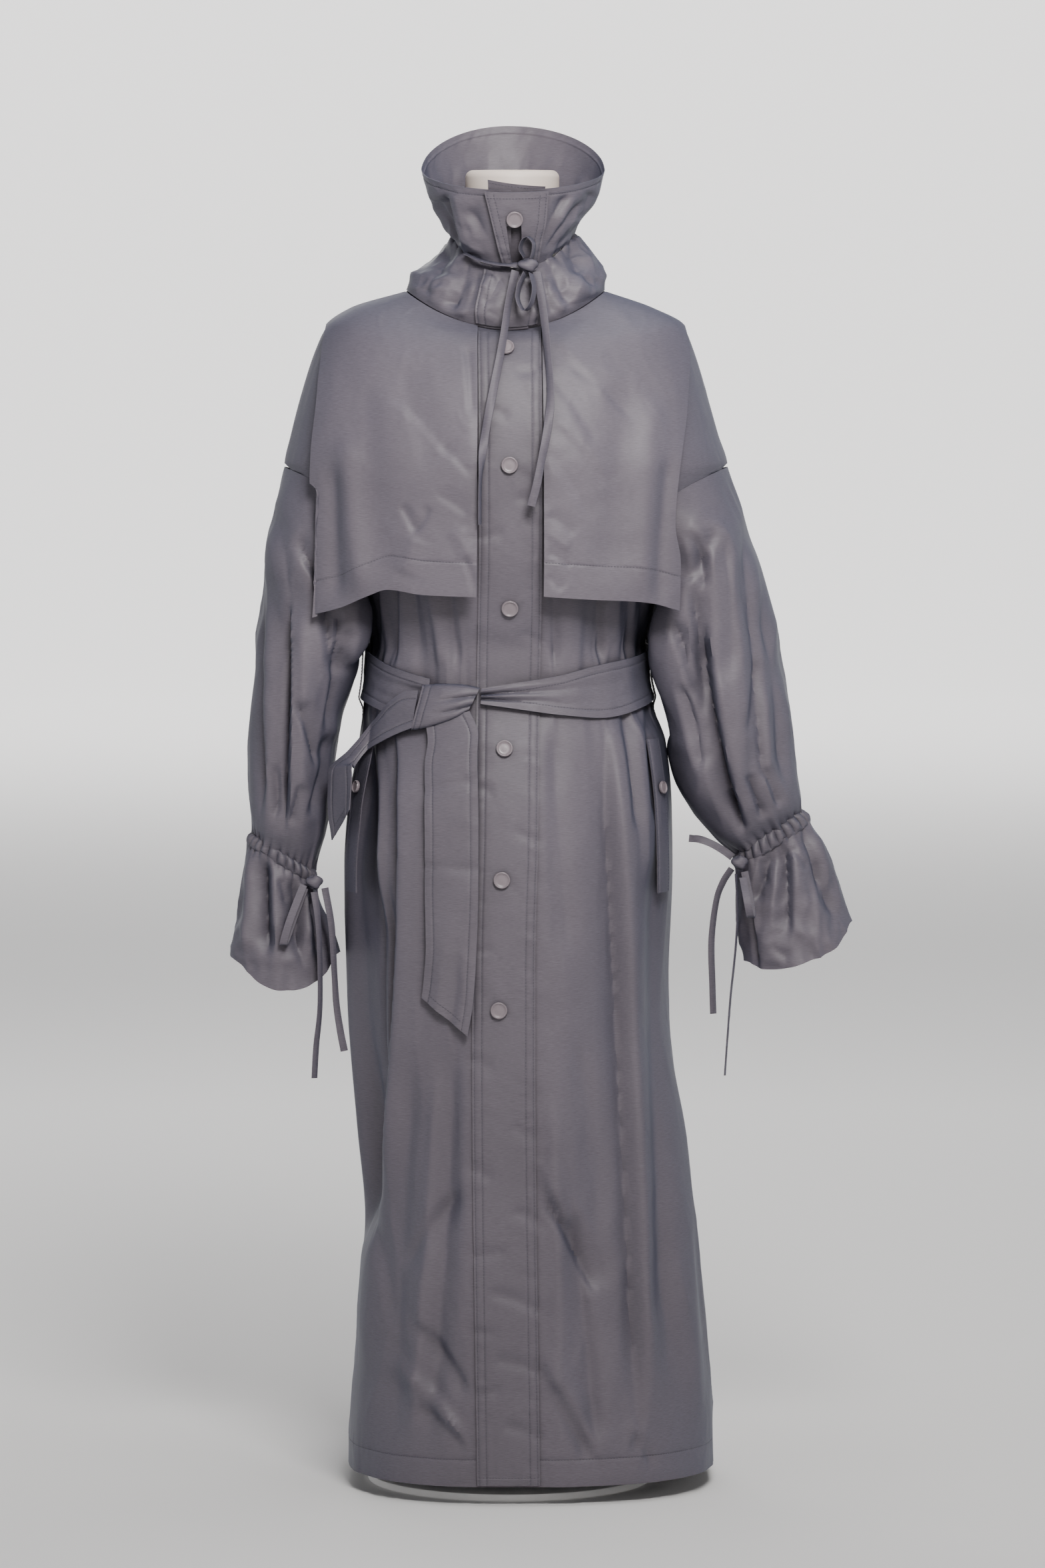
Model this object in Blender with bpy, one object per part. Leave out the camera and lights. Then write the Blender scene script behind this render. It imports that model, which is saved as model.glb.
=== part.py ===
"""Long belted raincoat of the trench type, hanging closed on a limbless dress form.

Metres, +Z up. The wearer's front faces -Y and the viewer's right is +X. The origin is the middle of
the stand's underside. The tables below are in millimetres, one row for each section or fold.
Every piece of cloth is a wall round the outside of its own surface, and pieces that are sewn together
stay a seam gap apart.
"""
import math

import bpy
import numpy as np

# ---------------------------------------------------------------- driving dimensions (metres)
MM = 0.001
CLOTH = 0.0014            # one layer of coat cloth, drawn as a wall
DOUBLE = 0.0018           # turned and stitched cloth: placket, belt, welts
SEAM = 0.0003             # gap where two pieces are sewn together
LIE = 0.0012              # air between a panel and what lies on it
CASING_THICK = 0.0024     # gathered casing of a wrist, and how far it stands out
CASING_PROUD = 0.0006
SIDE_AIR = 3.2            # mm, between the coat's side and the sleeve that rests on it

HEM_Z = 20                # mm, height of the hem over the floor
PLACKET_WIDTH = 65        # mm
PLACKET_TOP = 1243        # mm, side height of its top end, just under the collar
PLACKET_HEM_UP = 0.0015   # how far its lower end stays over the hem
BUTTON_R = 0.0087
BUTTON_THICK = 0.0038
POCKET_BUTTON_R = 0.0065
TAPE_WIDTH = 0.0088       # the drawcords are flat tapes
TAPE_THICK = 0.0012
CUFF_TAPE_WIDTH = 0.0079

BASE_R = 0.150            # stand: enamelled disc, pole and the form on it
BASE_THICK = 0.008
POLE_R = 0.0125
FORM_BOTTOM = 0.640
NECK_R = 0.049
NECK_LOW = 1.340
NECK_TOP = 1.377
NECK_X = 0.0026

ARMHOLE_LOW = 984         # mm, side heights of the armhole seam
ARMHOLE_HIGH = 1068
ARMHOLE_TURN = math.radians(42)   # half of its spread round the body
SIDE = math.pi / 2
SLEEVE_POINTS = 16
SLEEVE_START = 0.97       # size of the sleeve's first ring against the armhole
SECTION_SQUARE = 2.2      # exponent of the sleeve and cuff sections
FORM_SQUARE = 2.15
ROWS_ABOVE = 5            # rows of the body between the armhole and the neck
ROW_HEIGHTS = (HEM_Z, 60, 130, 205, 271, 330, 430, 540, 650, 712, 765, 810, 850, 881, 908, 940, 965)

# Body sections, by height at the side seams. left, right, front and back are distances from the
# axis; square is the section's exponent (2 is an ellipse); dip and rise tilt the front and the back.
BODY_COLUMNS = "h left right front back square dip rise"
BODY = [
    (20, 169, 214, 176, 172, 2.6, 0, 0),
    (96, 166, 211, 173, 168, 2.6, 0, 0),
    (205, 158, 202, 169, 163, 2.6, 0, 0),
    (271, 152, 194, 166, 159, 2.5, 0, 0),
    (377, 161, 181, 161, 153, 2.5, 0, 0),
    (509, 171, 166, 155, 146, 2.4, 0, 0),
    (649, 174, 171, 147, 138, 2.4, 0, 0),
    (712, 170, 170, 141, 132, 2.3, 0, 0),
    (780, 158, 163, 128, 118, 2.2, 0, 0),
    (820, 151, 147, 116, 105, 2.2, 0, 0),
    (850, 146, 140, 110, 99, 2.2, 0, 0),
    (881, 145, 140, 110, 98, 2.2, 0, 0),
    (908, 149, 147, 117, 104, 2.2, 0, 0),
    (936, 155, 154, 124, 110, 2.2, 0, 0),
    (981, 165, 165, 131, 117, 2.7, 0, 0),
    (1020, 206, 202, 133, 121, 2.2, 0, 0),
    (1068, 236, 228, 134, 124, 2.05, 0, 0),
    (1102, 229, 218, 131, 124, 2.1, 0, 0),
    (1151, 216, 204, 121, 117, 2.2, -4, 1),
    (1190, 203, 192, 109, 108, 2.2, -14, 3),
    (1216, 190, 180, 98, 97, 2.2, -23, 5),
    (1234, 165, 148, 89, 85, 2.1, -31, 9),
    (1251, 108, 99, 75, 68, 2.0, -39, 14),
]

# Large folds of the body cloth: troughs that run from the top point to the bottom point, given by
# their distance from the middle line and their height. side is -1 on the front and 1 on the back.
FOLD_COLUMNS = "side x_top z_top x_low z_low width depth"
FOLDS = [
    (-1, -120, 800, -146, 290, 15, 8),
    (-1, 96, 815, 138, 60, 20, 9),
    (-1, 58, 800, 92, 330, 22, 6),
    (-1, -62, 470, -92, 60, 26, 7),
    (-1, 55, 330, 84, 40, 24, 7),
    (-1, -120, 960, -113, 872, 15, 5),
    (-1, 96, 960, 92, 872, 15, 5),
    (1, -86, 812, -132, 60, 22, 8),
    (1, -22, 800, -30, 120, 24, 7),
    (1, 58, 812, 104, 60, 22, 8),
    (1, -58, 1010, -52, 880, 20, 5),
    (1, 62, 1010, 54, 880, 20, 5),
]

# Sleeve sections: the inner and outer point of each in the front view, the middle of its depth and
# half its depth. The first section, at the armhole, is worked out from the body.
# Columns: in_x in_z out_x out_z mid_y deep dip, the last being how far the front hangs below the sides.
SLEEVES = {
    "left": [
        (160, 962, 257, 986, 0, 84, 0),
        (146, 920, 262, 930, 0, 83, 0),
        (150, 872, 266, 876, -1, 81, 0),
        (176, 808, 271, 812, -3, 77, 0),
        (186, 742, 273, 752, -6, 68, 0),
        (193, 690, 272, 708, -9, 54, 0),
        (206, 645, 270, 684, -10, 34, 0),
    ],
    "right": [
        (160, 960, 255, 986, 0, 84, 0),
        (144, 905, 274, 918, 0, 83, 0),
        (148, 856, 284, 862, -1, 81, 0),
        (165, 780, 296, 786, -3, 77, 0),
        (180, 728, 302, 744, -6, 68, 0),
        (211, 684, 306, 722, -9, 52, 0),
        (236, 662, 306, 708, -10, 34, 0),
    ],
}
# Drawcord casings and the flared cuffs below them, in the same columns.
CUFFS = {
    "left": [
        (204, 634, 275, 676, -10, 34, 0),
        (201, 612, 281, 640, -12, 38, 6),
        (193, 585, 286, 602, -13, 41, 20),
        (186, 556, 291, 563, -14, 44, 36),
    ],
    "right": [
        (237, 649, 314, 699, -10, 34, 0),
        (237, 622, 327, 672, -12, 38, 4),
        (239, 586, 341, 632, -13, 42, 12),
        (247, 552, 357, 592, -14, 45, 22),
    ],
}

# Collar rings, from the neck seam to the drawcord and from there to the open rim.
# Heights in front, at the sides and behind, the distances from the axis, and how the height goes
# over from the sides to the front: 1 is a flat tilted ring, 2 hangs between the sides.
COLLAR_COLUMNS = "low_front side high_back left right front back power"
COLLAR_LOWER = [
    (1213, 1252, 1266, 107, 98, 75, 68, 2.0),
    (1228, 1264, 1279, 102, 97, 79, 70, 1.9),
    (1247, 1280, 1297, 84, 90, 77, 66, 1.7),
    (1263, 1296, 1314, 67, 79, 69, 59, 1.5),
    (1274, 1309, 1329, 58, 64, 61, 54, 1.4),
]
COLLAR_UPPER = [
    (1275, 1310, 1330, 58, 64, 61, 54, 1.4),
    (1295, 1325, 1352, 70, 74, 69, 64, 1.3),
    (1325, 1350, 1388, 84, 91, 78, 75, 1.15),
    (1356, 1377, 1424, 92, 99, 84, 82, 1.05),
]
COLLAR_GAP = (math.radians(1), math.radians(11))    # the slot in front, from the middle to the right
# The collar's placket: its share of the collar's height, and its edges in degrees, low and high.
COLLAR_FLY = {"part": (0.12, 0.985), "left": (-8, -19), "right": (28, 30)}
# The placket's stretch on the lower collar: its share of the height, middle and half width in degrees.
LOW_FLY = {"part": (0.06, 0.86), "centre": -1, "half": (17.5, 23)}
UNDERLAP = {"part": (0.55, 1), "turn": (-15, 23), "inside": 0.0042, "corner": (9, 1)}

# Middle line of the placket, which wanders a little with the way the coat hangs.
MIDDLE_COLUMNS = "z x"
MIDDLE = [(20, -1), (470, -6), (560, -6), (690, -3), (800, -2), (1000, 1), (1100, 1), (1216, 0)]

# Buttons on the placket: the height, and the distance from the placket's middle line, in mm.
BUTTONS = [(513, -5), (647, -4), (781, -3), (927, 0), (1074, -1), (1192, -4)]
BUTTON_SPOT = 10          # mm, the stretch of cloth round a button that gives the way it faces
COLLAR_BUTTON = (3, 0.69)     # degrees from the front, part of the collar's height
COLLAR_SPOT = (9, 0.14)       # the same stretch round the collar's button, in degrees and part

# Storm flaps: outer edge and bottom edge, as distances from the middle line.
FLAP_EDGE_COLUMNS = "z left right"
FLAP_EDGE = [(905, 205, 166), (975, 200, 168), (1010, 197, 164), (1060, 198, 168),
             (1130, 195, 178), (1190, 192, 183), (1218, 189, 180)]
FLAP_OVER_SLEEVE = 80     # mm, how far forward the sleeve's front keeps a flap
FLAP_AIR = (2.6, 9, 4)    # mm under a flap: at the seams, more over the chest, more again at its hem
FLAP_HANGS = 1072         # mm, the height below which it no longer follows the body
FLAP_HEM_COLUMNS = "x z_left z_right"
FLAP_HEM = [(30, 939, 940), (85, 941, 936), (120, 946, 934), (142, 938, 931), (168, 926, 923), (205, 915, 918)]

# Belt on the body: angle from the front towards the viewer's right, top and bottom height.
BELT_COLUMNS = "turn z_top z_low lift"
BELT = [
    (-11, 842, 825, 9), (3, 849, 820, 9), (20, 856, 814, 8), (38, 866, 810, 6), (62, 873, 818, 6),
    (90, 880, 826, 6), (135, 884, 829, 6), (180, 885, 830, 6), (225, 884, 829, 6), (270, 880, 826, 6),
    (290, 873, 822, 6), (306, 864, 815, 6), (319, 855, 806, 6),
]
BELT_STANDS = 16.5        # mm, how far the belt and its loop stand out at the side
BELT_FROM = (768, 795)    # mm, heights between which they start and end for the sleeve beside them
BELT_TO = (930, 905)
BELT_DRAWN_IN = 0.85      # the belt follows the waist less than the cloth under it does
BELT_MIDDLE = 850         # mm
# Belt loops: side, angle from the front, and for each row the height and how far it stands off.
LOOPS = (("left", -88), ("right", 96))
LOOP_HALF_WIDTH = 2.6     # degrees
LOOP_HEIGHTS = (806, 817, 850, 886, 896)
LOOP_STAND = (3, 12.5, 12.5, 12.5, 3)
# Pocket welts: side and angle, then half width in degrees, bottom, top and button height.
POCKETS = (("left", -64), ("right", 62))
WELT_HALF_WIDTH = 5
WELT_LOW = 628
WELT_TOP = 786
POCKET_BUTTON_Z = 736
# The belt's two ends: edges a and b, and how far each row stands off the coat.
TAIL_COLUMNS = "a_x a_z b_x b_z off"
TAIL_FRONT = [
    (-90, 792, -38, 806, 10), (-88, 760, -33, 770, 9), (-87, 700, -32, 705, 8), (-87, 640, -32, 640, 7),
    (-86, 580, -34, 576, 7), (-88, 545, -37, 525, 7), (-90, 525, -43, 487, 7),
]
TAIL_SIDE = [
    (-104, 842, -108, 797, 12), (-122, 832, -128, 791, 13), (-140, 809, -151, 780, 15),
    (-166, 772, -163, 768, 20), (-187, 748, -165, 752, 24), (-186, 716, -166, 728, 22),
    (-184, 690, -173, 702, 20),
]
KNOT = {"left": -101, "right": -33, "z": 826, "high": 38, "slope": 13, "thick": 15, "off": 9}

# The form inside the coat: half widths and depths by height.
FORM_COLUMNS = "z wide front back"
FORM = [
    (640, 128, 82, 82), (655, 140, 92, 90), (700, 148, 98, 96), (760, 142, 94, 88), (820, 122, 84, 76),
    (870, 112, 80, 70), (930, 120, 90, 78), (1000, 135, 106, 90), (1060, 142, 110, 96), (1120, 148, 100, 98),
    (1165, 158, 84, 88), (1190, 160, 72, 76), (1204, 150, 66, 68), (1216, 124, 62, 61), (1226, 92, 58, 56),
    (1238, 66, 54, 52), (1256, 54, 51, 50), (1290, 51, 50, 50), (1340, 49.5, 49.5, 49.5),
]

CLOTH_COLOUR = (0.215, 0.200, 0.222)
SHADOW_CLOTH = (0.180, 0.172, 0.195)
BUTTON_COLOUR = (0.300, 0.262, 0.280)
FORM_COLOUR = (0.800, 0.770, 0.720)
STEEL_COLOUR = (0.560, 0.560, 0.570)
BASE_COLOUR = (0.760, 0.750, 0.740)


# ---------------------------------------------------------------- small helpers
def table(columns, rows):
    """The rows as one array for each named column."""
    values = np.array(rows, dtype=float)
    return {name: values[:, k] for k, name in enumerate(columns.split())}


def smooth(at, xs, ys):
    """A smooth curve through (xs, ys) that doesn't overshoot between rows, read at the places at."""
    at = np.clip(np.asarray(at, dtype=float), xs[0], xs[-1])
    step = np.diff(xs)
    rise = np.diff(ys) / step
    slope = np.concatenate(([rise[0]], np.zeros(len(xs) - 2), [rise[-1]]))
    inner = rise[:-1] * rise[1:]
    slope[1:-1] = np.where(inner > 0, 2 * inner / np.where(inner > 0, rise[:-1] + rise[1:], 1), 0)
    k = np.clip(np.searchsorted(xs, at, side="right") - 1, 0, len(xs) - 2)
    t = (at - xs[k]) / step[k]
    return ((2 * t ** 3 - 3 * t ** 2 + 1) * ys[k] + (t ** 3 - 2 * t ** 2 + t) * step[k] * slope[k]
            + (3 * t ** 2 - 2 * t ** 3) * ys[k + 1] + (t ** 3 - t ** 2) * step[k] * slope[k + 1])


def fade(at, start, end):
    """0 at start, 1 at end, smooth between."""
    t = np.clip((np.asarray(at, dtype=float) - start) / (end - start), 0, 1)
    return t * t * (3 - 2 * t)


def squircle(turn, square):
    """Unit section with the given exponent: the sine-like and cosine-like parts."""
    sine = np.sin(turn)
    cosine = np.cos(turn)
    size = (np.abs(sine) ** square + np.abs(cosine) ** square) ** (1 / square)
    return sine / size, cosine / size


def normals(grid, closed):
    """Unit normals of a grid of points [row, column], out of the side that columns x rows gives."""
    along = np.gradient(grid, axis=0)
    across = (np.roll(grid, -1, axis=1) - np.roll(grid, 1, axis=1)) if closed else np.gradient(grid, axis=1)
    out = np.cross(across, along)
    return out / np.maximum(np.linalg.norm(out, axis=2, keepdims=True), 1e-12)


def moved(grid, distance, closed=False):
    """The grid moved along its normals by a distance, which may differ from point to point."""
    distance = np.asarray(distance, dtype=float)
    if distance.ndim:
        distance = distance[..., None]
    return grid + normals(grid, closed) * distance


# ---------------------------------------------------------------- surfaces of the coat (metres)
BODY_T = table(BODY_COLUMNS, BODY)
FOLD_T = table(FOLD_COLUMNS, FOLDS)
MIDDLE_T = table(MIDDLE_COLUMNS, MIDDLE)


def body_column(name, h):
    return smooth(h, BODY_T["h"], BODY_T[name])


def fold_depth(x, z, side):
    """How far the large folds pull the cloth in, in mm, at a place on the front or the back."""
    total = np.zeros_like(x)
    for k in range(len(FOLDS)):
        fold = {name: FOLD_T[name][k] for name in FOLD_T}
        run = np.clip((fold["z_top"] - z) / (fold["z_top"] - fold["z_low"]), 0, 1)
        centre = fold["x_top"] + (fold["x_low"] - fold["x_top"]) * run
        here = np.where(np.sign(side) == fold["side"], 1.0, 0.0)
        ends = fade(z, fold["z_top"], fold["z_top"] - 45) if fold["z_top"] < 900 else fade(
            z, fold["z_top"], fold["z_top"] - 30) * fade(z, fold["z_low"], fold["z_low"] + 30)
        if fold["z_low"] > 100:
            ends = ends * fade(z, fold["z_low"] - 40, fold["z_low"] + 90)
        total += here * ends * fold["depth"] * np.exp(-((x - centre) / fold["width"]) ** 2)
    return total


def body_surface(turn, h):
    """Outer surface of the coat's body, in metres, for angles round it and heights in mm."""
    turn, h = np.broadcast_arrays(np.asarray(turn, dtype=float), np.asarray(h, dtype=float))
    sine, cosine = squircle(turn, body_column("square", h))
    wide = np.where(sine > 0, body_column("right", h), body_column("left", h))
    deep = np.where(cosine > 0, body_column("front", h), body_column("back", h))
    x = wide * sine
    y = -deep * cosine
    z = h + np.where(cosine > 0, body_column("dip", h), body_column("rise", h)) * cosine ** 2
    side = np.where(cosine > 0, -1, 1)
    near_middle = np.where(cosine > 0, fade(np.abs(x - middle(z)), 34, 52), 1)
    near_side = fade(np.abs(cosine), 0.05, 0.3)
    pull = 1 - fold_depth(x, z, side) * near_middle * near_side / np.maximum(np.hypot(x, y), 1)
    return np.stack([x * pull, y * pull, z], axis=-1) * MM


def middle(z):
    """Distance of the placket's middle line from the axis, in mm."""
    return smooth(z, MIDDLE_T["z"], MIDDLE_T["x"])


def front_depth(x, z):
    """How far forward the body's front stands, without folds, at a place in mm."""
    x, z = np.broadcast_arrays(np.asarray(x, dtype=float), np.asarray(z, dtype=float))
    h = z.copy()
    for _ in range(25):
        wide = np.where(x > 0, body_column("right", h), body_column("left", h))
        square = body_column("square", h)
        part = np.clip(np.abs(x) / wide, 0, 0.999)
        cosine = (1 - part ** square) ** (1 / square)
        h = 0.5 * h + 0.5 * (z - body_column("dip", h) * cosine ** 2)
    return body_column("front", h) * cosine


def armhole_turn(h):
    """How far the armhole reaches round from the side seam at a height, in radians."""
    centre = (ARMHOLE_LOW + ARMHOLE_HIGH) / 2
    half = (ARMHOLE_HIGH - ARMHOLE_LOW) / 2
    return ARMHOLE_TURN * np.sqrt(np.clip(1 - ((h - centre) / half) ** 2, 0, 1))


def body_heights(hole, above):
    """Row heights, with the rows on the armhole spaced like points on its curve."""
    low = np.array(ROW_HEIGHTS, dtype=float)
    curve = np.linspace(0, math.pi, hole + 1)
    mid = (ARMHOLE_LOW + ARMHOLE_HIGH) / 2 - (ARMHOLE_HIGH - ARMHOLE_LOW) / 2 * np.cos(curve)
    top = BODY_T["h"][-1]
    high = ARMHOLE_HIGH + (top - ARMHOLE_HIGH) * np.linspace(0, 1, above + 1)[1:] ** 0.85
    return np.concatenate([low, mid, high])


def side_reach(side, y, z):
    """How far out the body's side stands at a depth and height, with the belt and its loop, in mm."""
    deep = np.where(y > 0, body_column("back", z), body_column("front", z))
    square = body_column("square", z)
    part = np.clip(np.abs(y) / deep, 0, 1)
    belt = BELT_STANDS * fade(z, *BELT_FROM) * fade(z, *BELT_TO)
    return body_column(side, z) * (1 - part ** square) ** (1 / square) + belt


def sleeve_rings(side, table_rows, around, first=None):
    """Rings of points for the sections of one sleeve or cuff, which rest against the body's side."""
    sign = -1 if side == "left" else 1
    turn = np.linspace(0, 2 * math.pi, around, endpoint=False)
    sine, cosine = squircle(turn, SECTION_SQUARE)
    rings = [] if first is None else [first]
    for in_x, in_z, out_x, out_z, mid_y, deep, dip in table_rows:
        along_x = (in_x + out_x) / 2 - (out_x - in_x) / 2 * cosine
        along_z = (in_z + out_z) / 2 - (out_z - in_z) / 2 * cosine - dip * np.maximum(sine, 0) ** 2
        y = mid_y - deep * sine
        along_x = np.maximum(along_x, side_reach(side, y, along_z) + SIDE_AIR)
        rings.append(np.stack([sign * along_x, y, along_z], axis=-1) * MM)
    return np.array(rings)


def armhole_ring(side, around, shrink):
    """Points of the armhole seam, from its lowest point forwards and up to its highest."""
    sign = -1 if side == "left" else 1
    turn = np.linspace(0, 2 * math.pi, around, endpoint=False)
    centre = (ARMHOLE_LOW + ARMHOLE_HIGH) / 2
    h = centre - (ARMHOLE_HIGH - ARMHOLE_LOW) / 2 * shrink * np.cos(turn)
    return body_surface(sign * (SIDE - ARMHOLE_TURN * shrink * np.sin(turn)), h)


def spline_rows(rings, rows):
    """More rows through the given rings, on a smooth curve through the matching points."""
    count = len(rings)
    padded = np.concatenate([[2 * rings[0] - rings[1]], rings, [2 * rings[-1] - rings[-2]]])
    out = []
    for place in np.linspace(0, count - 1, rows + 1):
        k = min(int(place), count - 2)
        t = place - k
        p0, p1, p2, p3 = padded[k:k + 4]
        out.append(0.5 * (2 * p1 + (p2 - p0) * t + (2 * p0 - 5 * p1 + 4 * p2 - p3) * t ** 2
                          + (3 * p1 - p0 - 3 * p2 + p3) * t ** 3))
    return np.array(out)


def collar_surface(turn, rings, part):
    """Collar points: angles round the neck, and part from 0 at the first ring to 1 at the last."""
    values = table(COLLAR_COLUMNS, rings)
    places = np.linspace(0, 1, len(rings))
    turn, part = np.broadcast_arrays(np.asarray(turn, dtype=float), np.asarray(part, dtype=float))
    row = {name: smooth(part, places, values[name]) for name in values}
    sine, cosine = squircle(turn, 2.0)
    x = np.where(sine > 0, row["right"], row["left"]) * sine
    y = -np.where(cosine > 0, row["front"], row["back"]) * cosine
    ends = np.where(cosine > 0, row["low_front"], row["high_back"])
    z = row["side"] + (ends - row["side"]) * np.abs(cosine) ** row["power"]
    return np.stack([x, y, z], axis=-1) * MM


# ---------------------------------------------------------------- solids
def clear_scene():
    for old in list(bpy.data.objects):
        bpy.data.objects.remove(old, do_unlink=True)


def material(name, colour, roughness, metallic=0.0):
    made = bpy.data.materials.get(name) or bpy.data.materials.new(name)
    made.use_nodes = True
    shader = made.node_tree.nodes["Principled BSDF"]
    shader.inputs["Base Color"].default_value = (*colour, 1)
    shader.inputs["Roughness"].default_value = roughness
    shader.inputs["Metallic"].default_value = metallic
    made.diffuse_color = (*colour, 1)
    return made


def add_object(name, points, faces, look):
    mesh = bpy.data.meshes.new(name)
    mesh.from_pydata([tuple(p) for p in points], [], faces)
    mesh.update()
    mesh.materials.append(look)
    made = bpy.data.objects.new(name, mesh)
    bpy.context.collection.objects.link(made)
    return made


def wall(name, outer, thick, look, closed=False, keep=None, inner=None):
    """A closed solid between a grid of outer points [row, column] and the same grid moved in.

    Both sides are cut into triangles along the same diagonals, so that the wall keeps its thickness."""
    if inner is None:
        inner = moved(outer, -thick, closed)
    rows, columns = outer.shape[:2]
    count = rows * columns
    points = np.concatenate([outer.reshape(-1, 3), inner.reshape(-1, 3)])
    faces = []
    edges = set()
    for r in range(rows - 1):
        for c in range(columns if closed else columns - 1):
            if keep is not None and not keep(r, c):
                continue
            right = (c + 1) % columns
            quad = (r * columns + c, r * columns + right, (r + 1) * columns + right, (r + 1) * columns + c)
            for half in (quad[:3], (quad[0], *quad[2:])):
                faces.append(half)
                faces.append(tuple(count + k for k in reversed(half)))
            edges.update(zip(quad, quad[1:] + quad[:1]))
    for a, b in sorted(edges):
        if (b, a) not in edges:
            faces.extend([(b, a, count + a), (b, count + a, count + b)])
    used = sorted({k for face in faces for k in face})
    order = {k: n for n, k in enumerate(used)}
    return add_object(name, points[used], [tuple(order[k] for k in face) for face in faces], look)


def turned(name, profile, look, place=(0, 0, 0), axis=(0, 0, 1), segments=24):
    """A solid of revolution: profile is (radius, height) from the axis at the bottom to the top."""
    axis = np.array(axis, dtype=float) / np.linalg.norm(axis)
    helper = np.array([0, 0, 1.0]) if abs(axis[2]) < 0.9 else np.array([1.0, 0, 0])
    across = np.cross(helper, axis)
    across /= np.linalg.norm(across)
    other = np.cross(axis, across)
    turn = np.linspace(0, 2 * math.pi, segments, endpoint=False)
    round_way = np.cos(turn)[:, None] * across + np.sin(turn)[:, None] * other
    inner = profile[1:-1]
    points = [np.array(place) + axis * profile[0][1]]
    for radius, height in inner:
        points.extend(np.array(place) + axis * height + round_way * radius)
    points.append(np.array(place) + axis * profile[-1][1])
    faces = []
    last = len(points) - 1
    for k in range(segments):
        step = (k + 1) % segments
        faces.append((0, 1 + step, 1 + k))
        for ring in range(len(inner) - 1):
            low = 1 + ring * segments
            high = low + segments
            faces.append((low + k, low + step, high + step, high + k))
        top = 1 + (len(inner) - 1) * segments
        faces.append((top + k, top + step, last))
    made = add_object(name, points, faces, look)
    made.data.shade_smooth()
    made.data.set_sharp_from_angle(angle=math.radians(35))
    return made


def button(name, place, out, radius, look):
    """Low round button with a raised rim, its back on the place given."""
    t = BUTTON_THICK
    profile = [(0, 0), (radius * 0.8, 0), (radius, t * 0.35), (radius, t * 0.7), (radius * 0.86, t),
               (radius * 0.72, t * 0.8), (0, t * 0.86)]
    return turned(name, profile, look, place, out, 12)


def tape(name, route, width, thick, look, steps=10):
    """A flat tape on a smooth curve. Each route row is x, y, z in mm and the turn of its width."""
    rows = spline_rows(np.array([[list(row)] for row in route], dtype=float), steps)[:, 0, :]
    path = rows[:, :3] * MM
    along = np.gradient(path, axis=0)
    along /= np.linalg.norm(along, axis=1, keepdims=True)
    turn = np.radians(rows[:, 3])
    wide = np.stack([np.cos(turn), np.sin(turn), np.zeros(len(turn))], axis=1)
    wide -= along * (wide * along).sum(axis=1, keepdims=True)
    wide /= np.linalg.norm(wide, axis=1, keepdims=True)
    flat = np.cross(wide, along)
    edge_a = path - wide * width / 2
    edge_b = path + wide * width / 2
    outer = np.stack([edge_a + flat * thick / 2, edge_b + flat * thick / 2], axis=1)
    inner = np.stack([edge_a - flat * thick / 2, edge_b - flat * thick / 2], axis=1)
    return wall(name, outer, thick, look, inner=inner)


def bead(name, place, size, look):
    """A small rounded knot."""
    profile = [(0, -1.0)] + [(math.cos(a), math.sin(a)) for a in np.radians([-50, 0, 50])] + [(0, 1.0)]
    made = turned(name, profile, look, segments=8)
    for point in made.data.vertices:
        point.co = [point.co[k] * size[k] * MM + place[k] * MM for k in range(3)]
    return made


# ---------------------------------------------------------------- the coat's pieces
def build_body(look):
    """Fronts and back, from the hem to the shoulder, side and neck seams, open at the armholes."""
    heights = body_heights(SLEEVE_POINTS // 2, ROWS_ABOVE)
    hole = armhole_turn(heights)
    gap = 0.5 * SEAM / (100 * MM)
    centre = np.arcsin(middle(heights) / body_column("right", heights))
    across = np.linspace(0, 1, 11)
    h = heights[:, None]
    right = centre[:, None] + gap + (SIDE - hole - gap - centre - gap)[:, None] * across
    left = -SIDE + hole[:, None] + gap + (centre - gap + SIDE - hole - gap)[:, None] * across
    wall("front_right", body_surface(right, h), CLOTH, look)
    wall("front_left", body_surface(left, h), CLOTH, look)
    behind = np.linspace(0, 1, 19)
    back = SIDE + hole[:, None] + gap + (math.pi - 2 * (hole + gap))[:, None] * behind
    wall("back", body_surface(back, h), CLOTH, look)


def placket_grid(off):
    """Points of the body's front across the placket's width, moved out."""
    h = body_heights(SLEEVE_POINTS // 2, ROWS_ABOVE)[:, None]
    h[-1] = PLACKET_TOP
    x = middle(h) + PLACKET_WIDTH * np.array([-0.5, 0, 0.5])
    square = body_column("square", h)
    part = x / np.where(x > 0, body_column("right", h), body_column("left", h))
    turn = np.arctan2(part, (1 - np.abs(part) ** square) ** (1 / square))
    grid = body_surface(turn, h)
    grid[0, :, 2] += PLACKET_HEM_UP
    return moved(grid, off)


def build_placket(look, button_look):
    wall("placket", placket_grid(LIE + DOUBLE), DOUBLE, look)
    spot = BUTTON_SPOT * np.array([-1.0, 0, 1])
    for number, (z_button, off) in enumerate(BUTTONS):
        z = z_button + spot[:, None]
        x = middle(z) + off + spot
        grid = np.stack([x, -front_depth(x, z), np.broadcast_to(z, x.shape)], axis=-1) * MM
        out = normals(grid, False)[1, 1]
        place = grid[1, 1] + out * (LIE + DOUBLE + SEAM + 0.0002)
        button(f"button_{number + 1}", place, out, BUTTON_R, button_look)


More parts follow.
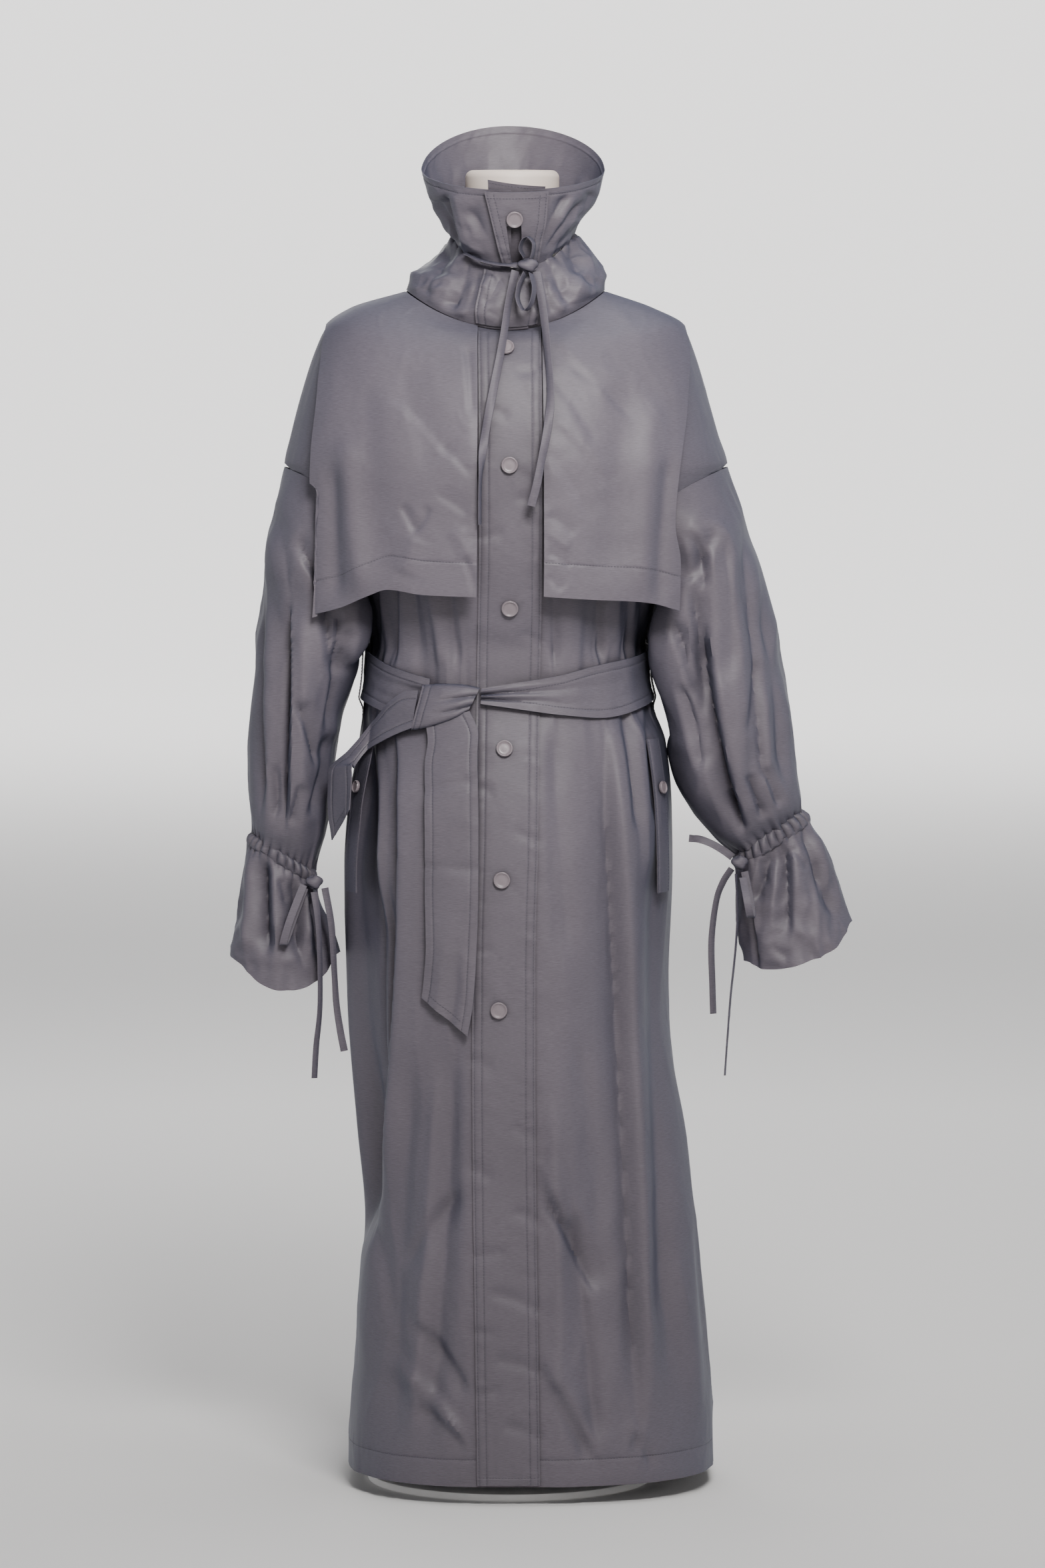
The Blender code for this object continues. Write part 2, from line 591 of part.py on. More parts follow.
def flap_grid(side, rows, columns, off):
    """A storm flap: over the shoulder and the chest, then hanging free of the body and sleeve."""
    sign = -1 if side == "left" else 1
    edge = table(FLAP_EDGE_COLUMNS, FLAP_EDGE)
    hem = table(FLAP_HEM_COLUMNS, FLAP_HEM)
    across = np.linspace(0, 1, columns)
    down = np.linspace(0, 1, rows)[:, None]
    start = PLACKET_WIDTH / 2 + 0.8
    z = np.broadcast_to(1100.0, (rows, columns))
    for _ in range(12):
        x = start + (smooth(z, edge["z"], edge[side]) - start) * across
        z_hem = smooth(x, hem["x"], hem["z_" + side])
        z_top = flap_top(sign * x)
        z = z_top + (z_hem - z_top) * down ** 1.7
    hang = np.maximum(z, FLAP_HANGS)
    depth = front_depth(sign * x, hang) + fade(z, 1120, 1000) * 3
    depth = np.maximum(depth, FLAP_OVER_SLEEVE * fade(z, 1130, 1040))
    grid = np.stack([sign * x + middle(z) * (1 - across), -depth, z], axis=-1) * MM
    clear = off + (FLAP_AIR[0] + FLAP_AIR[1] * fade(z, 1210, 1050) + FLAP_AIR[2] * fade(z, 1050, 930)) * MM
    order = (slice(None, None, -1), slice(None, None, sign))
    return moved(grid[order], clear[order])


def flap_top(x):
    """Height of the neck seam or the shoulder seam at a distance from the middle."""
    x = np.asarray(x, dtype=float)
    name = np.where(x > 0, "right", "left")
    heights = np.linspace(1180, BODY_T["h"][-1], 60)
    out = np.zeros_like(x)
    for which in ("left", "right"):
        wide = body_column(which, heights)[::-1]
        ridge = smooth(np.abs(x), wide, heights[::-1])
        part = np.clip(np.abs(x) / wide[0], 0, 1)
        neck = BODY_T["h"][-1] + BODY_T["dip"][-1] * (1 - part ** 2)
        out = np.where(name == which, np.where(np.abs(x) < wide[0], neck, ridge), out)
    return out - 1.5


def build_flaps(look):
    for side in ("left", "right"):
        wall(f"storm_flap_{side}", flap_grid(side, 10, 9, LIE + CLOTH), CLOTH, look)


def build_sleeves(look, casing_look):
    around = SLEEVE_POINTS
    for side in ("left", "right"):
        flip = -1 if side == "right" else 1
        first = armhole_ring(side, around, SLEEVE_START)
        rows = spline_rows(sleeve_rings(side, SLEEVES[side], around, first), 10)
        wall(f"sleeve_{side}", rows[:, ::flip], CLOTH, look, closed=True)
        cuff = spline_rows(sleeve_rings(side, CUFFS[side], around), 3)
        wall(f"cuff_{side}", cuff[:, ::flip], CLOTH, look, closed=True)
        ends = np.stack([rows[-1], cuff[0]])
        share = np.array([0.08, 0.5, 0.92])[:, None, None]
        casing = moved(ends[0] + (ends[1] - ends[0]) * share, [[CASING_PROUD * flip]], True)
        wall(f"cuff_casing_{side}", casing[:, ::flip], CASING_THICK, casing_look, closed=True)


def build_collar(look, button_look):
    low = np.linspace(0.0, 1, 4)[:, None]
    turn = np.linspace(COLLAR_GAP[1], 2 * math.pi + COLLAR_GAP[0], 25)
    wall("collar_lower", moved(collar_surface(turn, COLLAR_LOWER, low), 0.0012), CLOTH, look)
    high = np.linspace(0.03, 1, 4)[:, None]
    wall("collar_upper", moved(collar_surface(turn, COLLAR_UPPER, high), 0.0004), CLOTH, look)

    part = np.linspace(*LOW_FLY["part"], 5)[:, None]
    half = np.array([-1, -0.33, 0.33, 1])
    turn = np.radians(LOW_FLY["centre"] + np.interp(part, LOW_FLY["part"], LOW_FLY["half"]) * half)
    wall("collar_placket_low", moved(collar_surface(turn, COLLAR_LOWER, part), 2 * LIE + DOUBLE), DOUBLE, look)

    part = np.linspace(*COLLAR_FLY["part"], 6)[:, None]
    left, right = [np.radians(low + (high - low) * part) for low, high in (COLLAR_FLY["left"], COLLAR_FLY["right"])]
    across = np.array([0, 0.22, 0.40, 0.62, 1.0])
    grid = moved(collar_surface(left + (right - left) * across, COLLAR_UPPER, part), 2 * LIE + DOUBLE)
    wall("collar_placket", grid, DOUBLE, look, keep=lambda r, c: not (r < 2 and c == 2))

    part = np.linspace(*UNDERLAP["part"], 3)[:, None]
    turn = np.radians(np.linspace(*UNDERLAP["turn"], 6))
    inside = moved(collar_surface(turn, COLLAR_UPPER, part), -UNDERLAP["inside"])
    inside[-1, :, 2] += np.linspace(*UNDERLAP["corner"], 6) * MM
    wall("collar_underlap", inside, CLOTH, look)

    spot = np.array([-1, 0, 1])
    turn = np.radians(COLLAR_BUTTON[0] + COLLAR_SPOT[0] * spot)
    part = (COLLAR_BUTTON[1] + COLLAR_SPOT[1] * spot)[:, None]
    grid = collar_surface(turn, COLLAR_UPPER, part)
    out = normals(grid, False)[1, 1]
    place = grid[1, 1] + out * (2 * LIE + DOUBLE + SEAM + 0.0006)
    button("button_7", place, out, BUTTON_R, button_look)


def belt_grid(rows, columns, off):
    """The belt where it goes round the coat."""
    values = table(BELT_COLUMNS, BELT)
    turn = np.linspace(values["turn"][0], values["turn"][-1], columns)
    low = smooth(turn, values["turn"], values["z_low"])
    high = smooth(turn, values["turn"], values["z_top"])
    lift = smooth(turn, values["turn"], values["lift"])
    z = low + (high - low) * np.linspace(0, 1, rows)[:, None]
    h = BELT_MIDDLE + (z - BELT_MIDDLE) * BELT_DRAWN_IN
    grid = body_surface(np.radians(turn), h)
    grid[..., 2] = z * MM
    return moved(grid, off + lift * MM)


def edge_grid(rows, count, columns, off):
    """A strip between two edges in the front view, standing off the coat."""
    values = table(TAIL_COLUMNS, rows)
    place = np.linspace(0, 1, len(rows))
    at = np.linspace(0, 1, count)[:, None]
    row = {name: smooth(at, place, values[name]) for name in values}
    across = np.linspace(0, 1, columns)
    x = row["a_x"] + (row["b_x"] - row["a_x"]) * across
    z = row["a_z"] + (row["b_z"] - row["a_z"]) * across
    bound = 0.93 * body_column("left", z)
    depth = front_depth(np.clip(x, -bound, bound), z) + row["off"]
    return moved(np.stack([x, -depth, z], axis=-1)[::-1] * MM, off)


def build_belt(look):
    wall("belt", belt_grid(2, 37, DOUBLE), DOUBLE, look)
    wall("belt_tail_front", edge_grid(TAIL_FRONT, 11, 3, DOUBLE), DOUBLE, look)
    wall("belt_tail_side", edge_grid(TAIL_SIDE, 11, 3, DOUBLE), DOUBLE, look)

    across = np.linspace(0, 1, 7)
    up = np.linspace(-1, 1, 5)[:, None]
    x = KNOT["left"] + (KNOT["right"] - KNOT["left"]) * across
    z = KNOT["z"] + KNOT["slope"] * (2 * across - 1) + KNOT["high"] / 2 * up * (1 - 0.35 * across)
    x = np.broadcast_to(x, z.shape)
    depth = front_depth(x, np.clip(z, 800, 860)) + KNOT["off"]
    back = np.stack([x, -depth, z], axis=-1) * MM
    puff = KNOT["thick"] * (1 - 0.72 * np.abs(up) ** 2.4) * (1 - 0.55 * np.abs(2 * across - 1) ** 3)
    front = back - np.stack([0 * puff, puff, 0 * puff], axis=-1) * MM
    wall("belt_knot", front, DOUBLE, look, inner=back)

    for side, turn in LOOPS:
        rows = np.array(LOOP_HEIGHTS, dtype=float)[:, None]
        grid = body_surface(np.radians(turn + LOOP_HALF_WIDTH * np.array([-1, 0, 1])), rows)
        stand = np.array(LOOP_STAND)[:, None] * MM
        wall(f"belt_loop_{side}", moved(grid, stand + 0 * grid[..., 0]), DOUBLE, look)


def build_pockets(look, button_look):
    for side, turn in POCKETS:
        across = np.radians(turn + WELT_HALF_WIDTH * np.array([-1, 0, 1]))
        grid = body_surface(across, np.linspace(WELT_LOW, WELT_TOP, 6)[:, None])
        wall(f"pocket_welt_{side}", moved(grid, 2 * LIE + DOUBLE), DOUBLE, look)
        around = POCKET_BUTTON_Z + np.array([-11.0, 0, 11])[:, None]
        spot = body_surface(np.radians(turn + np.array([-3, 0, 3])), around)
        out = normals(spot, False)[1, 1]
        place = spot[1, 1] + out * (2 * LIE + DOUBLE + 0.0012)
        button(f"pocket_button_{side}", place, out, POCKET_BUTTON_R, button_look)


# ---------------------------------------------------------------- drawcords
# Columns: x y z turn, where turn is the way that the tape's width faces, in degrees.
NECK_ROUTES = {
    "neck_cord_run": [(-46, -53, 1291, 35), (-30, -66, 1284, 20), (-10, -73, 1280, 6), (8, -74.5, 1279, -2)],
    "neck_cord_loop_up": [(15, -80, 1287, 65), (11, -82, 1295, 65), (13, -84, 1304, 65), (19, -85, 1308, 65),
                          (25, -84, 1302, 65), (25, -82, 1293, 65), (23, -80, 1286, 65)],
    "neck_cord_loop_low": [(16, -84, 1270, 60), (10, -92, 1256, 60), (9, -98, 1243, 60), (15, -102, 1233, 60),
                           (22, -101, 1240, 60), (25, -95, 1255, 60), (22, -86, 1270, 60)],
    "neck_cord_tail_left": [(6, -80, 1273, 20), (-1, -93, 1240, 40), (-7, -110, 1200, 30), (-18, -131, 1145, 10),
                            (-25, -141, 1108, -20), (-29, -152, 1070, 60), (-30, -157, 1040, 70),
                            (-30, -157, 1014, 70)],
    "neck_cord_tail_right": [(28, -80, 1272, 0), (34, -96, 1236, -20), (39, -114, 1190, -40), (42, -134, 1146, -30),
                             (39, -145, 1112, 10), (33, -153, 1080, 30), (28, -157, 1055, 10),
                             (22, -157, 1033, 0)],
}
NECK_KNOT = ((19, -79.5, 1278.5), (9.5, 6, 7))
CUFF_ROUTES = {
    "left": {
        "loop": [(-214, -50, 630, 0), (-223, -55, 606, 0), (-233, -62, 578, 0), (-236, -69, 574, 0),
                 (-229, -68, 598, 0), (-215, -59, 634, 0)],
        "tail_a": [(-204, -52, 626, 20), (-200, -56, 598, 40), (-198, -58, 560, 50), (-198, -58, 505, 50),
                   (-202, -57, 465, 40), (-204, -57, 431, 40)],
        "tail_b": [(-193, -48, 630, 20), (-186, -50, 590, 30), (-183, -50, 540, 40), (-181, -51, 508, 30),
                   (-177, -52, 480, 20), (-173, -52, 459, 10)],
    },
    "right": {
        "stub": [(232.5, -46, 662, 10), (223, -47, 669, 10), (211, -48, 676, 10), (198, -48, 681, 0),
                 (187, -48, 682, 0)],
        "loop": [(245, -53, 647.5, 0), (249, -57, 628, 0), (252, -63, 612, 0), (252, -70, 602, 0),
                 (250, -78, 605, 0), (247, -78, 620, 0), (243, -62, 642, 0)],
        "tail_a": [(232, -46, 650, 20), (223, -47, 636, 24), (216, -48, 616, 34), (211, -50, 575, 30),
                   (212, -50, 530, 30), (213, -50, 498, 30)],
        "tail_b": [(236.5, -54, 645, 70), (238, -62, 610, 72), (236, -66, 570, 74), (231, -66, 520, 74),
                   (228, -65, 480, 76), (225, -64, 435, 76)],
    },
}
CUFF_KNOTS = {"left": ((-204, -49, 636), (8, 6, 7)), "right": ((240, -49, 656.5), (8, 6, 7))}


def build_cords(look):
    for name, route in NECK_ROUTES.items():
        tape(name, route, TAPE_WIDTH, TAPE_THICK, look)
    bead("neck_cord_knot", *NECK_KNOT, look)
    for side, routes in CUFF_ROUTES.items():
        for part, route in routes.items():
            tape(f"cuff_cord_{part}_{side}", route, CUFF_TAPE_WIDTH, TAPE_THICK, look)
        bead(f"cuff_cord_knot_{side}", *CUFF_KNOTS[side], look)


# ---------------------------------------------------------------- form and stand
def build_form(form_look, cap_look, steel_look, base_look):
    values = table(FORM_COLUMNS, FORM)
    heights = np.concatenate([np.linspace(640, 1160, 11), np.linspace(1190, 1256, 6), [1300, 1340]])
    turn = np.linspace(0, 2 * math.pi, 24, endpoint=False)
    points = [(0, 0, FORM_BOTTOM)]
    for z in heights:
        sine, cosine = squircle(turn, FORM_SQUARE)
        deep = np.where(cosine > 0, smooth(z, values["z"], values["front"]), smooth(z, values["z"], values["back"]))
        wide = smooth(z, values["z"], values["wide"])
        lean = NECK_X * fade(z, 1150, 1260)
        points.extend(zip(wide * sine * MM + lean, -deep * cosine * MM, np.full(len(turn), z * MM)))
    points.append((NECK_X, 0, heights[-1] * MM))
    faces = []
    size = len(turn)
    for k in range(size):
        step = (k + 1) % size
        faces.append((0, 1 + step, 1 + k))
        for ring in range(len(heights) - 1):
            low = 1 + ring * size
            faces.append((low + k, low + step, low + size + step, low + size + k))
        low = 1 + (len(heights) - 1) * size
        faces.append((low + k, low + step, len(points) - 1))
    made = add_object("form_torso", points, faces, form_look)
    made.data.shade_smooth()

    low = NECK_LOW + SEAM
    cap = [(0, low), (NECK_R, low), (NECK_R, NECK_TOP - 0.008), (NECK_R - 0.0025, NECK_TOP - 0.0025),
           (NECK_R - 0.008, NECK_TOP), (0, NECK_TOP)]
    turned("form_neck_cap", cap, cap_look, (NECK_X, 0, 0), segments=28)
    pole = [(0, BASE_THICK + SEAM), (POLE_R, BASE_THICK + SEAM), (POLE_R, FORM_BOTTOM - SEAM), (0, FORM_BOTTOM - SEAM)]
    turned("stand_pole", pole, steel_look, segments=16)
    base = [(0, 0), (BASE_R, 0), (BASE_R, BASE_THICK - 0.002), (BASE_R - 0.002, BASE_THICK), (0, BASE_THICK)]
    turned("stand_base", base, base_look, segments=32)


def main():
    clear_scene()
    cloth = material("cloth", CLOTH_COLOUR, 0.45)
    trim = material("trim", SHADOW_CLOTH, 0.45)
    cord = material("cord", SHADOW_CLOTH, 0.6)
    button_look = material("button", BUTTON_COLOUR, 0.4)
    form_look = material("form", FORM_COLOUR, 0.7)
    cap_look = material("form_cap", FORM_COLOUR, 0.5)
    steel = material("steel", STEEL_COLOUR, 0.35, 1.0)
    base_look = material("base", BASE_COLOUR, 0.6)
    build_form(form_look, cap_look, steel, base_look)
    build_body(cloth)
    build_placket(trim, button_look)
    build_flaps(cloth)
    build_sleeves(cloth, trim)
    build_collar(cloth, button_look)
    build_belt(trim)
    build_pockets(trim, button_look)
    build_cords(cord)


main()
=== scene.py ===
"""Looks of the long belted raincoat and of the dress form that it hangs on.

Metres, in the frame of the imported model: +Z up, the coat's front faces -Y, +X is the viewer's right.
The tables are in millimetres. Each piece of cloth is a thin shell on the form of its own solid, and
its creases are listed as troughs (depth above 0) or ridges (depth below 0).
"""
import math

import bpy
import numpy as np
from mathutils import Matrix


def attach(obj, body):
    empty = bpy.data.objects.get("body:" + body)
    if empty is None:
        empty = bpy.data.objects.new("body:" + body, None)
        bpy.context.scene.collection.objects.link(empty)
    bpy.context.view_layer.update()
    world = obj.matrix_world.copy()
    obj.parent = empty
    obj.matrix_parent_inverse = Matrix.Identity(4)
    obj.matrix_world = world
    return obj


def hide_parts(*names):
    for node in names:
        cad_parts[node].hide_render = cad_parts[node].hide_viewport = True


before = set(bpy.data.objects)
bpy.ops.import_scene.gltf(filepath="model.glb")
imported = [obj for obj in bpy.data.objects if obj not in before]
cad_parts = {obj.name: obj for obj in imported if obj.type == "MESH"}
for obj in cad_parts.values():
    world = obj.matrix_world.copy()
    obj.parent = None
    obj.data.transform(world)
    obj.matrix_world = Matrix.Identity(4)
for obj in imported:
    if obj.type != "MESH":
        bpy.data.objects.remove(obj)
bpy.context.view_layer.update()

# ---------------------------------------------------------------- sizes (metres unless said)
MM = 0.001
ROUND = 2 * math.pi
CLOTH = 0.0007            # one layer of cloth
DOUBLE = 0.0013           # turned and stitched cloth
LIE = 0.0009              # air under what lies on a panel
SIDE_AIR = 1.6            # mm, between the coat's side and the sleeve that rests on it

HEM_Z = 20                # mm
PLACKET_WIDTH = 65        # mm
PLACKET_TOP = 1243        # mm
BODY_TOP = 1251           # mm
BUTTON_R = 0.0087
BUTTON_THICK = 0.0038
POCKET_BUTTON_R = 0.0065
# A button's section in parts of its radius and thickness, from the middle of its back to its face's.
BUTTON_SHAPE = [(0, 0), (0.80, 0), (0.95, 0.15), (1, 0.40), (1, 0.62), (0.975, 0.84), (0.93, 0.97),
                (0.875, 1), (0.82, 0.95), (0.77, 0.82), (0.72, 0.73), (0.5, 0.70), (0.25, 0.74), (0, 0.76)]
TAPE_WIDTH = 0.0088
TAPE_THICK = 0.0011
CUFF_TAPE = 0.9           # the cuff's tape against the neck's
RUN_DRAWN = 0.85          # the run's tape is rolled up in its casing

BASE_R = 0.150
BASE_THICK = 0.008
POLE_R = 0.0125
FORM_BOTTOM = 0.640
NECK_R = 0.049
NECK_LOW = 1.3403
NECK_TOP = 1.377
NECK_X = 0.0026

ARMHOLE_LOW = 984         # mm
ARMHOLE_HIGH = 1068       # mm
ARMHOLE_TURN = math.radians(42)
SIDE = math.pi / 2
BELT_LOW = 822            # mm, the band that the belt draws in
BELT_HIGH = 868           # mm

STITCH_LONG = 0.0023      # one stitch of the topstitching, and the gap to the next
STITCH_GAP = 0.0010
STITCH_WIDE = 0.00055
STITCH_HIGH = 0.00028
EDGE_STITCH = 2.2         # mm from a folded edge to the first row of stitches
ROW_APART = 7.7           # mm between the two rows of stitches
PLACKET_HEM = EDGE_STITCH + 6         # mm
BODY_HEM = 28             # mm, turned hem of the coat
FLAP_HEM_DEEP = 35        # mm, turned hem of the flaps
BELT_STITCH = 8.4         # mm
RIM_HEM = 7               # mm, turned rim of the collar
COLLAR_ROWS = (2.2, 9.0)  # mm from the edges of the collar's placket to its rows of stitches
WELT_STITCH = 2.5         # mm, on the pockets' welts and the belt's loops

BELT_WIDE = 54            # mm
LOW_FLY_WIDE = 62         # mm
COLLAR_FLY_WIDE = 58      # mm
KNOT_WIDE = 62            # mm
WELT_WIDE = 26            # mm
WELT_TURN = 10            # degrees of the body's turn that a welt takes in
WELT_LOW = 628            # mm
WELT_LONG = 158           # mm
SLEEVE_AROUND = 150       # points round a sleeve and a cuff
CASING_AROUND = 420       # points round a cuff's casing, and its rings
CASING_ROWS = 15
CASING_FOLDS = 26         # puffed folds round a wrist
COLLAR_AROUND = 280       # points round the collar
COLLAR_PLEATS = (315, 13, 2.6, 32)    # the drawn-in seam: seed, reach, depth and count

# ---------------------------------------------------------------- camera (metres)
CAMERA_FAR = 7.5
CAMERA_UP = math.radians(4.5)
CAMERA_AIM = (0.0133, 0.0, 0.735)
VIEW_HIGH = 1.646         # what the frame's height takes in at the aim
SENSOR = 36
STUDIO_R = 14.0           # a round room with a pale wall, so that every view has the same backdrop
STUDIO_BEND = 1.6         # radius of the bend between its floor and its wall
STUDIO_HIGH = 7.0
STUDIO_AROUND = 120
# Lights: place, aim, size, power in watts, colour and spread in degrees.
LIGHTS = {
    "key": ((0.4, -2.1, 2.4), (0, 0, 1.15), (0.8, 0.8), 20, (1.0, 0.985, 0.965), 80),
    "fill": ((-3.0, -2.2, 1.7), (0, 0, 0.9), (1.2, 2.0), 4, (0.74, 0.85, 1.0), 180),
    "top": ((0.5, 0.1, 4.2), (0.1, 0.1, 0), (2.8, 2.2), 76, (1.0, 0.99, 0.98), 180),
    "back": ((-0.9, 3.4, 2.8), (0, 0, 0.9), (1.6, 1.6), 26, (1.0, 0.99, 0.98), 180),
    "backdrop_glow": ((0, STUDIO_R - 4.0, 4.6), (0, STUDIO_R, 0.8), (9.0, 1.6), 420, (1.0, 0.995, 0.99), 180),
}

# ---------------------------------------------------------------- sections and routes (mm)
BODY_COLUMNS = "h left right front back square dip rise"
BODY = [
    (20, 169, 214, 176, 172, 2.6, 0, 0),
    (96, 166, 211, 173, 168, 2.6, 0, 0),
    (205, 158, 202, 169, 163, 2.6, 0, 0),
    (271, 152, 194, 166, 159, 2.5, 0, 0),
    (377, 161, 181, 161, 153, 2.5, 0, 0),
    (509, 171, 166, 155, 146, 2.4, 0, 0),
    (649, 174, 171, 147, 138, 2.4, 0, 0),
    (712, 170, 170, 141, 132, 2.3, 0, 0),
    (780, 158, 163, 128, 118, 2.2, 0, 0),
    (820, 151, 147, 116, 105, 2.2, 0, 0),
    (850, 146, 140, 110, 99, 2.2, 0, 0),
    (881, 145, 140, 110, 98, 2.2, 0, 0),
    (908, 149, 147, 117, 104, 2.2, 0, 0),
    (936, 155, 154, 124, 110, 2.2, 0, 0),
    (981, 165, 165, 131, 117, 2.7, 0, 0),
    (1020, 206, 202, 133, 121, 2.2, 0, 0),
    (1068, 236, 228, 134, 124, 2.05, 0, 0),
    (1102, 229, 218, 131, 124, 2.1, 0, 0),
    (1151, 216, 204, 121, 117, 2.2, -4, 1),
    (1190, 203, 192, 109, 108, 2.2, -14, 3),
    (1216, 190, 180, 98, 97, 2.2, -23, 5),
    (1234, 165, 148, 89, 85, 2.1, -31, 9),
    (1251, 108, 99, 75, 68, 2.0, -39, 14),
]

# Creases: a line from (x1, z1) to (x2, z2) in the front view, bowed sideways by bend, with its own
# width on each side of the line, its depth, and how sharp it is (1 is a fold line, 2 a soft roll,
# and CRISP where the row leaves it out). Front and back are both in the front view's x and z.
CREASE_COLUMNS = "x1 z1 x2 z2 bend left right depth sharp"
CRISP = 1.2
FOLD_LINE = 1.55          # creases with less than this have flat sides, like a fold line
FRONT_CREASES = [
    (97, 822, 135, 60, 5, 34, 4, 13, 1.5), (108, 818, 146, 60, 5, 7, 20, -7, 1.8),
    (-160, 815, -163, 250, 0, 20, 16, 24, 1.8), (-122, 818, -147, 285, 12, 22, 2.6, 15),
    (-114, 812, -140, 300, 12, 5, 16, -4.5, 1.6), (-141, 806, -146, 400, 2, 6, 4, -5, 1.4),
    (-150, 812, -153, 330, 0, 5, 2.5, 7), (-138, 650, -150, 240, 6, 18, 9, 16, 1.6),
    (-129, 470, -152, 110, 2, 14, 16, -7, 1.7), (-104, 470, -124, 40, -3, 24, 14, 9, 1.7),
    (-60, 500, -88, 40, 4, 26, 14, 9, 1.6), (-76, 460, -104, 60, 2, 8, 10, -5, 1.7),
    (-72, 800, -60, 520, 4, 14, 10, 5, 1.6), (46, 815, 62, 560, -3, 16, 12, 4, 1.8),
    (70, 500, 100, 200, 4, 22, 16, 5, 1.9), (42, 430, 52, 120, 3, 10, 12, -4, 1.8),
    (60, 330, 92, 30, 5, 20, 9, 8, 1.6), (28, 360, 68, 286, -4, 4, 13, -6), (30, 322, 94, 215, 5, 4, 15, 8),
    (28, 168, 100, 44, -5, 5, 15, -7), (40, 130, 86, 50, 3, 9, 5, 6), (-131, 153, -40, 62, 6, 14, 5, -6.5),
    (-106, 190, -38, 112, 4, 10, 5, 6), (-98, 102, -44, 58, 4, 8, 4, 5), (-48, 330, -114, 238, -5, 6, 13, 5),
    (-146, 300, -124, 180, 3, 5, 9, 4, 1.3), (156, 700, 166, 120, -6, 14, 10, 10, 1.6),
    (180, 540, 196, 40, -4, 12, 9, -6, 1.7), (136, 846, 166, 782, 3, 5, 9, 7),
    (118, 828, 130, 690, 2, 5, 7, 6, 1.3), (127, 822, 142, 640, 2, 5, 9, -4, 1.5),
    (142, 820, 150, 700, 1, 4, 6, 5, 1.3), (-142, 972, -139, 862, 0, 12, 3, 11, 1.3),
    (-121, 972, -118, 862, 0, 13, 3, 11, 1.3), (-104, 965, -94, 866, 2, 8, 6, 5.5, 1.5),
    (-86, 962, -70, 862, 2, 6, 8, -6, 1.6), (-64, 964, -52, 862, -2, 7, 5, 6, 1.5),
    (42, 972, 45, 862, 2, 9, 5, 7.5, 1.5), (64, 964, 60, 868, 2, 8, 10, -3.6, 1.7),
    (98, 978, 96, 862, -2, 14, 3, 11, 1.3), (112, 974, 108, 864, 0, 7, 8, -4, 1.7),
    (127, 970, 124, 862, 0, 8, 3, 8, 1.3), (141, 968, 137, 862, 0, 6, 3, 7, 1.3),
    (134, 72, 126, 52, 2, 5, 6, 3.4), (124, 82, 142, 66, 0, 4, 5, -2.8), (139, 60, 148, 36, 1, 4, 5, 3),
]
BACK_CREASES = [
    (-92, 838, -132, 40, -6, 26, 6, 11, 1.5), (-104, 820, -148, 60, -6, 9, 15, -6, 1.8),
    (-46, 830, -62, 260, 4, 16, 9, 8, 1.6), (-26, 820, -34, 90, -5, 20, 14, 8, 1.7),
    (6, 836, 2, 330, 4, 10, 12, -4.5, 1.7), (30, 826, 46, 210, 5, 9, 20, 8, 1.6),
    (60, 838, 106, 50, -7, 6, 24, 11, 1.5), (76, 822, 124, 90, -6, 9, 14, -6, 1.7),
    (112, 812, 150, 200, 4, 12, 7, 8, 1.5), (-142, 760, -152, 180, 4, 8, 13, 8, 1.6),
    (146, 700, 180, 60, -4, 13, 10, -5, 1.8), (-66, 250, -38, 60, 6, 9, 13, 5, 1.5),
    (56, 300, 40, 50, -5, 13, 9, -4.5, 1.6), (98, 160, 132, 40, 4, 7, 14, 4.5, 1.4),
    (-96, 520, -84, 300, -3, 7, 12, 3.5, 1.5), (80, 560, 70, 360, 3, 12, 8, 3.5, 1.5),
    (-58, 1046, -52, 862, 3, 14, 6, 8, 1.5), (-96, 1000, -86, 862, 2, 11, 5, 7, 1.4),
    (-22, 990, -20, 864, -2, 10, 12, -4, 1.7), (18, 1020, 14, 862, 2, 6, 12, 6.5, 1.5),
    (62, 1056, 54, 862, -3, 8, 14, 8, 1.5), (104, 996, 94, 864, -2, 6, 11, 6, 1.4),
    (-150, 1130, -60, 1052, 8, 12, 22, 5, 1.5), (150, 1120, 66, 1040, -8, 22, 12, 5, 1.5),
    (-120, 1060, -20, 1000, 10, 9, 20, 4, 1.5), (116, 1072, 30, 1010, -10, 20, 9, 4, 1.5),
    (-84, 1196, -60, 1110, 4, 12, 16, 3, 1.8), (80, 1192, 58, 1100, -4, 16, 12, 3, 1.8),
]
